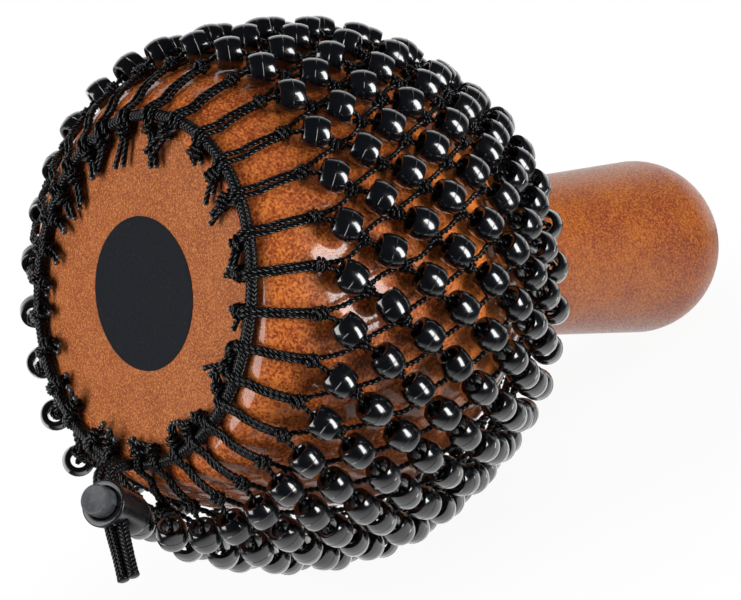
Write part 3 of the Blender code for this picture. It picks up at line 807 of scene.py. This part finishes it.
def add_beads(row, material):
    heap = Heap()
    for place, way, up in SEATS[row]:
        turn = rng.uniform(0, 2 * np.pi)
        side = np.cross(way, up)
        first = up * math.cos(turn) + side * math.sin(turn)
        second = side * math.cos(turn) - up * math.sin(turn)
        heap.add(place + BEAD[0] @ np.array([first, second, way]), BEAD[1])
    return heap.make(f"beads_{row + 1}", material, crease=32)


plastic = black_plastic()
SEATS = [jittered_seats(row) for row in range(BEAD_ROWS)]
for row in range(BEAD_ROWS):
    dress(add_beads(row, plastic), "net", "bead_plastic", f"bead_row_{row + 1}")
print("beads:", sum(map(len, SEATS)))

# %% [markdown]
# ## Strands and knots of the net
# Each round hangs on one nylon cord, laid from two twisted yarns. It zigzags between two rows of knots and
# carries a bead on every way down. Where two rounds meet, a knot holds them. Pulled tight, it shows as the
# same cord wound into a short coil that is thickest in the middle, so that is how it is made.

# %% Nylon and knots
KNOT_LAY, COIL_PITCH, COIL_STEPS, COIL_FULLNESS = 2.6 * MM, 1.9, 14, 0.3
KNOT_WANDER, ANY_TURN = 0.25, 6
FUZZ, FUZZ_DEPTH, FUZZ_DARK, FUZZ_LIGHT = 0.35 * MM, 0.02 * MM, 0.6, 1.6


def nylon(name, colour, sheen):
    material, tree = finish_named(name)
    fuzz = tree.noise(FUZZ, 3.0, 0.7)
    dark, light = (tuple(share * c for c in colour) for share in (FUZZ_DARK, FUZZ_LIGHT))
    shade = tree.mix(fuzz.step(0.35, 0.7), dark, light)
    surface(tree, base_color=shade, roughness=sheen, normal=tree.bump(fuzz, FUZZ_DEPTH))
    surface(tree, specular_ior_level=0.32)
    return material


def add_knot(heap, place, out, along, width, thick, cord):
    """A knot pulled tight: the cord wound round its own way, thickest in the middle."""
    along = unit(along + rng.normal(0, KNOT_WANDER, 3))
    out = unit(out - along * out.dot(along))
    side = np.cross(along, out)
    turns = (width - 2 * cord) / (COIL_PITCH * cord)
    t = np.linspace(0, 1, round(COIL_STEPS * turns))[:, None]
    angle = 2 * np.pi * turns * t + rng.uniform(0, ANY_TURN)
    reach = (thick / 2 - cord) * np.sin(np.pi * t) ** COIL_FULLNESS
    coil = along * (width / 2 - cord) * (2 * t - 1) + reach * (out * np.cos(angle) + side * np.sin(angle))
    add_rope(heap, place + coil, cord, 2, KNOT_LAY, start=rng.uniform(0, ANY_TURN))


cord_black = nylon("twisted nylon", (0.0035, 0.0037, 0.0047), 0.22)
print("nodes in the nylon:", len(cord_black.node_tree.nodes))

# %% Strands of the net
STRAND_RADIUS, STRAND_LAY, STRAND_STEP = 0.82 * MM, 3.4 * MM, 0.6 * MM
STRAND_SAG, STRAND_TUCK, BEAD_HALF = 0.8, 0.6, 0.45 * BEAD_LENGTH
KNOT_HEIGHT, KNOT_CORD, KNOT_SLANT = 2.5 * MM, 0.68 * MM, 1.5
KNOT_WIDTH, KNOT_THICKNESS = (5.4, 0.4), (4.3, 0.25)


def strand_points(row):
    """The turns of a round's strand: from an upper knot, through a bead, to a lower knot, and up again."""
    for spoke, (place, way, _) in enumerate(SEATS[row]):
        column = spoke + row / 2
        low, out, _, _ = net_point(knot_run(row + 1), KNOT_HEIGHT, column + 0.5)
        high = net_point(knot_run(row), KNOT_HEIGHT, column + 1)[0]
        yield net_point(knot_run(row), KNOT_HEIGHT, column)[0]
        yield place - way * BEAD_HALF
        yield place + way * BEAD_HALF
        yield low
        sag = np.cross(out, unit(high - low)) * rng.normal(0, STRAND_SAG) * MM
        yield (low + high) / 2 + sag - out * rng.uniform(0, STRAND_TUCK) * MM


def add_strand(row, material):
    heap = Heap()
    path = smooth(strand_points(row), STRAND_STEP, closed=True)
    add_rope(heap, path, STRAND_RADIUS, 2, STRAND_LAY, closed=True)
    for spoke in range(SPOKES):
        place, out, along, around = net_point(knot_run(row + 1), KNOT_HEIGHT, spoke + row / 2 + 0.5)
        way = along + around * rng.uniform(-KNOT_SLANT, KNOT_SLANT)
        width, thick = rng.normal(*KNOT_WIDTH) * MM, rng.normal(*KNOT_THICKNESS) * MM
        add_knot(heap, place, out, way, width, thick, KNOT_CORD)
    return heap.make(f"strand_{row + 1}", material, crease=80), walked(path)[-1]


strand_lengths = []
for row in range(BEAD_ROWS):
    strand, length = add_strand(row, cord_black)
    dress(strand, "net", "net_cord", f"bead_row_{row + 1}")
    strand_lengths.append(round(length / MM))
print("knots:", SPOKES * BEAD_ROWS, "strand lengths in mm:", strand_lengths)

# %% [markdown]
# ## Spokes
# From the drawstring to the first knots run pairs of twisted cords. Each pair crosses over the drawstring, is
# knotted on the side of the face, and is cut off there. The stubs point inwards and droop, and their tips are
# melted into glassy beads so that they don't fray. First comes the way of the drawstring's loop, which the
# spokes are laid over.

# %% The drawstring's loop
DRAWSTRING_RADIUS, DRAWSTRING_RUN = 1.5 * MM, 1.2 * MM
LOOP_OVAL, OVAL_TURN = 2.6 * MM, math.radians(43)
LOOP_SHIFT, SHIFT_TURN = 1.2 * MM, math.radians(-116)
LOCK_ROOM = math.radians(2.5)


def loop_run(azimuth):
    """How far behind the rim the drawstring lies. Its loop is a little oval and off centre."""
    oval = LOOP_OVAL * math.cos(2 * (azimuth - OVAL_TURN))
    return DRAWSTRING_RUN + oval + LOOP_SHIFT * math.cos(azimuth - SHIFT_TURN)


def drawstring_centre(azimuth):
    return SKIN.point(loop_run(azimuth), DRAWSTRING_RADIUS + CLEARANCE, azimuth)


def lock_azimuth():
    return lattice_azimuth(math.floor((LOCK_TURN - LATTICE_TURN) / SPOKE_STEP) + 0.5, LOOP_HOLD)


def spoke_azimuth(spoke):
    """Where a spoke crosses the drawstring. The two beside the lock stand aside for its cords."""
    azimuth = lattice_azimuth(spoke, LOOP_HOLD)
    off = math.remainder(azimuth - lock_azimuth(), 2 * math.pi)
    return azimuth + math.copysign(LOCK_ROOM, off) if abs(off) < SPOKE_STEP else azimuth


print("the lock hangs at, in degrees:", round(math.degrees(lock_azimuth()), 1))

# %% Courses and cut ends of the spokes
CORD_RADIUS, CORD_LAY, CORD_STEP, PAIR_GAP = 0.8 * MM, 4.8 * MM, 0.6 * MM, 0.7 * MM
LANDING, KNOT_SHORT, SPOKE_RISE = 4.2 * MM, 0.8 * MM, 0.9 * MM
STUB_STEP, STUB_SPREAD, STUB_PART, STUB_BEND, STUB_DROOP = 0.5 * MM, 0.9, (0.1, 0.7), 0.7, 0.12
TIP_PLACES, TIP_RADII = (-0.4, -0.1, 0.2, 0.45, 0.6), np.array([0.5, 0.85, 0.9, 0.65, 0.25]) * MM


def melted_nylon():
    material, tree = finish_named("melted nylon")
    surface(tree, base_color=(0.045, 0.047, 0.052), roughness=0.1, coat_weight=1.0, coat_roughness=0.05)
    return material


def over_drawstring(azimuth, aside):
    """Points over the drawstring from its inner to its outer side, a little to one side of the azimuth."""
    centre, out, along, around = drawstring_centre(azimuth)
    reach = DRAWSTRING_RADIUS + CORD_RADIUS
    for angle in (-1.15, -0.4, 0.35, 1.0):
        yield centre + (out * math.cos(angle) + along * math.sin(angle)) * reach + around * aside


def spoke_stations(start, end):
    """Places along a spoke from the drawstring to its knot, with the directions out, along and round."""
    landing, finish = loop_run(start) + LANDING, skewed(SPOKE_RUN, end) - KNOT_SHORT
    for share in np.linspace(0, 1, 5):
        azimuth = start + (end - start) * share
        rise = CORD_RADIUS + CLEARANCE + SPOKE_RISE * share
        run = landing + (finish - landing) * share
        yield share, *SKIN.point(run, rise, azimuth, share * net_slack(SPOKE_RUN, azimuth))


def add_tip(heap, end, way, places, radii, sides, finish):
    """A rounded blob on the end of a cord."""
    blob = np.array([end + way * place * MM for place in places])
    heap.add(*tube(blob, radii, sides), finish)


def add_stub(heap, start, way, side, length):
    """The two cut ends of a pair. They part a little, bend as they like, and end in a melted tip."""
    for hand in (-1, 1):
        reach = length + rng.normal(0, STUB_SPREAD) * MM
        part = hand * rng.uniform(*STUB_PART) * MM
        bend = side * rng.normal(0, STUB_BEND) * MM + DOWN * STUB_DROOP * reach
        points = [
            start + way * reach * share + side * (hand * PAIR_GAP + part * share) + bend * share**2
            for share in (0, 0.35, 0.7, 1)
        ]
        path = smooth(points, STUB_STEP)
        add_rope(heap, path, CORD_RADIUS, 3, CORD_LAY, start=rng.uniform(0, ANY_TURN))
        add_tip(heap, path[-1], unit(path[-1] - path[-2]), TIP_PLACES, TIP_RADII, 8, finish=1)


melted = melted_nylon()
first_course = np.array([place for _, place, *_ in spoke_stations(spoke_azimuth(0), lattice_azimuth(0))])
print("course of the first spoke in mm:", round(walked(first_course)[-1] / MM, 1))

# %% Spokes
FRONT = np.array([0.0, 0.0, -1.0])
PAIR_SPREAD, PAIR_LOOSE = 0.62, (0.3, 0.9)
LEAN_SWING, LEAN_RATE, LEAN_SPREAD, LEAN_SHIFT = 0.55, 2.2, 0.4, 2
HITCH_INSIDE, HITCH_RISE, HITCH_DEPTH, HITCH_CORD = 3.2 * MM, 2.5 * MM, 0.6 * MM, 0.72 * MM
HITCH_WIDTH, HITCH_THICKNESS = (5.6, 0.5), (5.2, 0.3)
FIRST_KNOT_WIDTH, FIRST_KNOT_THICKNESS, FIRST_KNOT_LIFT = (5.2, 0.3), 4.6 * MM, 0.5 * MM
STUB_LENGTH, STUB_HANG, STUB_FORWARD, STUB_SHORTER = (4.2, 8.8), (0.0, 0.8), (0, 0.3), 0.65


def add_spoke(spoke, *materials):
    start, end = spoke_azimuth(spoke), lattice_azimuth(spoke)
    around = drawstring_centre(start)[3]
    inward = -np.array([math.cos(start), math.sin(start), 0.0])
    spread = (PAIR_SPREAD + max(0.0, -math.cos(start)) * rng.uniform(*PAIR_LOOSE)) * MM
    lean = LEAN_SWING * math.sin(LEAN_RATE * spoke + 1) + rng.normal(0, LEAN_SPREAD)
    hitch = SKIN.point(loop_run(start) - HITCH_INSIDE, HITCH_RISE, start)[0] + around * lean * LEAN_SHIFT * MM
    heap = Heap()
    stations = list(spoke_stations(start, end))
    for hand in (-1, 1):
        points = [hitch + around * hand * 0.5 * MM, *over_drawstring(start, hand * spread)]
        for share, place, _, _, beside in stations:
            points.append(place + beside * hand * (spread + (PAIR_GAP - spread) * share))
        path = smooth(points, CORD_STEP)
        add_rope(heap, path, CORD_RADIUS, 3, CORD_LAY, start=rng.uniform(0, ANY_TURN))
    _, place, out, along, _ = stations[-1]
    width = rng.normal(*FIRST_KNOT_WIDTH) * MM
    add_knot(heap, place + out * FIRST_KNOT_LIFT, out, along, width, FIRST_KNOT_THICKNESS, KNOT_CORD)
    width, thick = rng.normal(*HITCH_WIDTH) * MM, rng.normal(*HITCH_THICKNESS) * MM
    add_knot(heap, hitch, FRONT, inward, width, thick, HITCH_CORD)
    hang, forward = DOWN * rng.uniform(*STUB_HANG), FRONT * rng.uniform(*STUB_FORWARD)
    way = unit(inward + hang + around * lean + forward)
    length = rng.uniform(*STUB_LENGTH) * MM * (1 - STUB_SHORTER * max(0.0, math.sin(start)) ** 2)
    add_stub(heap, hitch - FRONT * HITCH_DEPTH, way, unit(np.cross(FRONT, way)), length)
    return heap.make(f"spoke_cord_{spoke + 1:02d}", *materials, crease=80), walked(path)[-1]


spoke_lengths = []
for spoke in range(SPOKES):
    cord, length = add_spoke(spoke, cord_black, melted)
    dress(cord, "net", "net_cord", f"spoke_{spoke + 1:02d}")
    spoke_lengths.append(round(length / MM))
print("spokes:", SPOKES, "pairs of cord, in mm from", min(spoke_lengths), "to", max(spoke_lengths))

# %% [markdown]
# ## Drawstring
# The drawstring is a braid of twelve yarns, six winding each way. Every yarn floats for a quarter turn and
# dives for the next, so that the floats stack up into four columns of chevrons. It runs from a tail up
# through the lock, round the rim of the face, and back down to the other tail.

# %% The way of the drawstring
TAIL_WAY = Vector((0.9, -0.4, -0.15)).normalized()
BUTTON_WAY = Vector((-0.29, -0.37, -0.88))
LOCK_RUN, LOCK_GAP, LOCK_RADIUS, LOCK_FRONT, LOCK_BACK = 10 * MM, 3.3 * MM, 6.5 * MM, 4.6 * MM, 13.4 * MM
LOCK_TRAVEL, TAIL_BEYOND, CORD_SPACING = 10 * MM, 4.0 * MM, 3.7 * MM
TAIL_CLOSING, CLOSING_RUN, LOOP_OPENING = 0.28 * MM, 4 * MM, 0.11


def lock_matrix():
    """The lock's own frame: X along the cords to their tails, Z out of the button."""
    button = (BUTTON_WAY - TAIL_WAY * BUTTON_WAY.dot(TAIL_WAY)).normalized()
    turn = Matrix((TAIL_WAY, button.cross(TAIL_WAY), button)).transposed()
    back = Vector(SKIN.point(LOCK_RUN, LOCK_RADIUS + LOCK_GAP, LOCK_TURN)[0])
    return Matrix.Translation(back + button * LOCK_BACK) @ turn.to_4x4()


LOCK = lock_matrix()


def drawstring_points():
    entry, tail_end = -(LOCK_RADIUS + DRAWSTRING_RADIUS), LOCK_RADIUS + LOCK_TRAVEL + TAIL_BEYOND
    middle = lock_azimuth()
    tails, bends = [], []
    for side in (1, -1):
        tail = []
        for x in np.linspace(entry, tail_end, 8):
            apart = CORD_SPACING / 2 - TAIL_CLOSING * min(max((x - LOCK_RADIUS) / CLOSING_RUN, 0), 1)
            tail.append(np.array(LOCK @ Vector((x, -side * apart, 0))))
        place, _, _, around = drawstring_centre(middle + side * LOOP_OPENING)
        pull = np.linalg.norm(place - tail[0])
        t = np.arange(1, 5)[:, None] / 5
        bends.append(list(hermite(t, place, around * -side * pull, tail[0], np.array(TAIL_WAY) * pull)))
        tails.append(tail)
    turns = np.linspace(middle + LOOP_OPENING, middle + 2 * math.pi - LOOP_OPENING, 60)
    loop = [drawstring_centre(azimuth)[0] for azimuth in turns]
    return [*reversed(tails[0]), *reversed(bends[0]), *loop, *bends[1], *tails[1]]


print("points of the drawstring's way:", len(drawstring_points()))

# %% Braid
BRAID_RADIUS, BRAID_PAIRS, BRAID_PITCH, BRAID_STEP = 1.72 * MM, 6, 1.15 * MM, 0.3 * MM
BRAID_MIDDLE, BRAID_SWING, BRAID_YARN = 0.67 * BRAID_RADIUS, 0.1 * BRAID_RADIUS, 0.25 * BRAID_RADIUS
TAIL_PLACES, TAIL_RADII = (-0.6, -0.2, 0.2, 0.45), np.array([1.5, 1.75, 1.65, 1.2]) * MM


def add_braid(heap, path):
    """Yarns that wind both ways and swing in and out, so that they float in four columns."""
    length = walked(path)
    turn = 2 * np.pi / BRAID_PAIRS / BRAID_PITCH
    first, second = carried(path)
    for hand in (1, -1):
        for yarn in range(BRAID_PAIRS):
            angle = (hand * turn * length + 2 * np.pi * yarn / BRAID_PAIRS)[:, None]
            reach = BRAID_MIDDLE + hand * BRAID_SWING * np.cos(2 * angle)
            heap.add(*tube(path + reach * (first * np.cos(angle) + second * np.sin(angle)), BRAID_YARN, 5))


def add_drawstring(material):
    heap = Heap()
    path = smooth(drawstring_points(), BRAID_STEP)
    add_braid(heap, path)
    for end, before in ((path[0], path[2]), (path[-1], path[-3])):
        add_tip(heap, end, unit(end - before), TAIL_PLACES, TAIL_RADII, 12, finish=0)
    return heap.make("drawstring_braid", material, crease=80), walked(path)[-1]


drawstring, length = add_drawstring(nylon("braided nylon", (0.0045, 0.0048, 0.006), 0.25))
dress(drawstring, "net", "drawstring_cord", "drawstring")
print("drawstring length in mm:", round(length / MM), "faces:", len(drawstring.data.polygons))

# %% [markdown]
# ## The back of the net
# At the neck the last knots are drawn in to a cord of three twisted strands. Bare strands zigzag from the
# knots to that cord.

# %% The back of the net
NECK_LAY, NECK_STEP, LACING_STEP, LACING_GAP = 8 * MM, 0.8 * MM, 0.55 * MM, 1.45 * MM
NECK_HEIGHT = NECK_CORD_RADIUS + CLEARANCE


def add_neck_cord(material):
    heap = Heap()
    ring = [SKIN.point(NECK_CORD_RUN, NECK_HEIGHT, azimuth)[0] for azimuth in full_turn(60)]
    path = smooth(ring, NECK_STEP, closed=True)
    add_rope(heap, path, NECK_CORD_RADIUS, 3, NECK_LAY, sides=7, closed=True)
    return heap.make("neck_rope", material, crease=80), walked(path)[-1]


def add_neck_lacing(material):
    heap = Heap()
    low = NECK_CORD_RUN - NECK_CORD_RADIUS - LACING_GAP
    points = []
    for spoke in range(SPOKES):
        column = spoke + BEAD_ROWS / 2
        points.append(net_point(knot_run(BEAD_ROWS), KNOT_HEIGHT, column)[0])
        points.append(net_point(low, NECK_HEIGHT, column + 0.5)[0])
    path = smooth(points, LACING_STEP, closed=True)
    add_rope(heap, path, STRAND_RADIUS, 2, STRAND_LAY, closed=True)
    return heap.make("neck_strands", material, crease=80), walked(path)[-1]


for node, add_piece in (("neck_cord", add_neck_cord), ("neck_lacing", add_neck_lacing)):
    piece, length = add_piece(cord_black)
    dress(piece, "net", "net_cord", node)
    print(node, "length in mm:", round(length / MM))

# %% [markdown]
# ## Cord lock
# The lock is moulded: a barrel with a flared mouth, and a button whose stem slides in it. A hole crosses
# both for the two cords, and a coil spring under the stem pushes the button out. The turned bodies get their
# hole by a Boolean with a round-ended slot.

# %% The hole through the lock
LOCK_WORLD = INSTRUMENT @ LOCK
HOLE = DRAWSTRING_RADIUS + CLEARANCE


def slot_cutter(low, high):
    """A bar through the lock with round ends, for two cords side by side."""
    ring = []
    for side, start in ((1, -90), (-1, 90)):
        for step in range(13):
            a = math.radians(start + 15 * step)
            z = high - HOLE if math.sin(a) > 0 else low + HOLE
            ring.append((side * CORD_SPACING / 2 + HOLE * math.cos(a), z + HOLE * math.sin(a)))
    count, reach = len(ring), 2 * LOCK_RADIUS
    points = [(x, y, z) for x in (-reach, reach) for y, z in ring]
    faces = [list(reversed(range(count))), list(range(count, 2 * count))]
    faces += [[i, (i + 1) % count, count + (i + 1) % count, count + i] for i in range(count)]
    return single("slot_cutter", (points, faces), matrix=Matrix())


def add_moulded(name, profile, material, top):
    """A turned body with the hole cut in the lock's own frame, and then carried to its place."""
    piece = single(name, lathe(profile, 56), material, matrix=Matrix(), crease=35)
    cutter = slot_cutter(-HOLE, top)
    boolean = piece.modifiers.new("hole", "BOOLEAN")
    boolean.operation, boolean.solver, boolean.object = "DIFFERENCE", "EXACT", cutter
    bpy.context.view_layer.update()
    graph = bpy.context.evaluated_depsgraph_get()
    mesh = bpy.data.meshes.new_from_object(piece.evaluated_get(graph))
    piece.modifiers.clear()
    mesh.transform(LOCK_WORLD)
    piece.data = mesh
    bpy.data.objects.remove(cutter)
    print(name, "faces:", len(mesh.polygons))
    return piece


print("hole for each cord in mm:", round(2 * HOLE / MM, 1))

# %% Barrel and button
PLUNGER_RADIUS, PLUNGER_FOOT, BUTTON_RISE, BUTTON_TRAVEL = 4.7 * MM, 2.4 * MM, 4.5 * MM, 2.5 * MM
BUTTON_RADIUS, BUTTON_EDGE, BUTTON_DISH = 4.2 * MM, 0.45 * MM, 0.12 * MM
LOCK_FLOOR, MOUTH_EDGE, FLARE_EDGE, FLARE, FOOT_ROUND = 1.6 * MM, 0.4 * MM, 0.6 * MM, 0.45 * MM, 4.2 * MM
STEM_FOOT = -(HOLE + PLUNGER_FOOT)


def moulded_plastic(name, dark, light, sheen):
    material, tree = finish_named(name)
    grain = tree.noise(0.3 * MM, 2.0, 0.6)
    wear = tree.noise(2 * MM, 4.0, 0.7)
    colour = tree.mix(wear.step(0.4, 0.65), dark, light)
    surface(tree, base_color=colour, roughness=sheen + 0.16 * wear, normal=tree.bump(grain, 0.015 * MM))
    return material


def arc(centre, radius, start, end, count):
    """Points of a rounded edge, with angles in degrees from the way out."""
    for degrees in np.linspace(start, end, count):
        a = math.radians(degrees)
        yield centre[0] + radius * math.cos(a), centre[1] + radius * math.sin(a)


def add_barrel(material):
    bore, mouth, floor = PLUNGER_RADIUS + CLEARANCE, BUTTON_RADIUS + CLEARANCE, LOCK_FLOOR - LOCK_BACK
    waist, foot, neck = LOCK_RADIUS - FLARE, LOCK_RADIUS - 0.65 * MM, LOCK_FRONT - 1.2 * MM
    profile = [
        (0, floor),
        (bore, floor),
        (bore, neck),
        (mouth, LOCK_FRONT - 1.0 * MM),
        *arc((mouth + MOUTH_EDGE, LOCK_FRONT - MOUTH_EDGE), MOUTH_EDGE, 180, 90, 4),
        *arc((LOCK_RADIUS - FLARE_EDGE, LOCK_FRONT - FLARE_EDGE), FLARE_EDGE, 90, -15, 7),
        *((waist + FLARE * (1 - share) ** 2, neck - 4 * MM * share) for share in np.linspace(0.1, 1, 6)),
        *arc((foot - FOOT_ROUND, FOOT_ROUND - LOCK_BACK), FOOT_ROUND, 0, -90, 14),
        (0, -LOCK_BACK),
    ]
    return add_moulded("lock_body", profile, material, HOLE)


def add_button(material):
    top = LOCK_FRONT + BUTTON_RISE
    profile = [
        (0, top - BUTTON_DISH),
        (BUTTON_RADIUS - 1.1 * MM, top - BUTTON_DISH),
        (BUTTON_RADIUS - 0.9 * MM, top),
        *arc((BUTTON_RADIUS - BUTTON_EDGE, top - BUTTON_EDGE), BUTTON_EDGE, 90, 0, 6),
        (BUTTON_RADIUS, LOCK_FRONT - 1.6 * MM),
        (PLUNGER_RADIUS, LOCK_FRONT - 1.9 * MM),
        (PLUNGER_RADIUS, STEM_FOOT),
        (0, STEM_FOOT),
    ]
    return add_moulded("lock_button_stem", profile, material, HOLE + BUTTON_TRAVEL)


barrel_plastic = moulded_plastic("barrel plastic", (0.008, 0.0085, 0.01), (0.013, 0.014, 0.016), 0.16)
button_plastic = moulded_plastic("button plastic", (0.045, 0.049, 0.055), (0.08, 0.086, 0.094), 0.5)
dress(add_barrel(barrel_plastic), "cord_lock", "lock_plastic", "lock_barrel")
dress(add_button(button_plastic), "lock_button", "lock_plastic", "lock_plunger")

# %% Spring
SPRING_WIRE, SPRING_RADIUS, SPRING_TURNS, TURN_STEPS = 0.5 * MM, 3.4 * MM, 3.5, 24


def add_spring():
    material, tree = finish_named("spring wire")
    drawn = tree.noise(0.4 * MM, 2.0, 0.5)
    surface(tree, base_color=(0.55, 0.55, 0.57), metallic=1.0, roughness=0.25 + 0.15 * drawn)
    low = LOCK_FLOOR - LOCK_BACK + CLEARANCE + SPRING_WIRE / 2
    high = STEM_FOOT - CLEARANCE - SPRING_WIRE / 2
    share = np.linspace(0, 1, round(TURN_STEPS * SPRING_TURNS))
    angle = 2 * np.pi * SPRING_TURNS * share
    x, y = SPRING_RADIUS * np.cos(angle), SPRING_RADIUS * np.sin(angle)
    coil = np.column_stack([x, y, low + (high - low) * share])
    spring = single("lock_coil", tube(coil, SPRING_WIRE / 2, 8), material, matrix=LOCK_WORLD)
    dress(spring, "cord_lock", "spring_steel", "lock_spring")
    length = high - low + SPRING_WIRE
    (length - BUTTON_TRAVEL) / length
    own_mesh(spring)
    return length


print("spring length in mm:", round(add_spring() / MM, 2))

# %% [markdown]
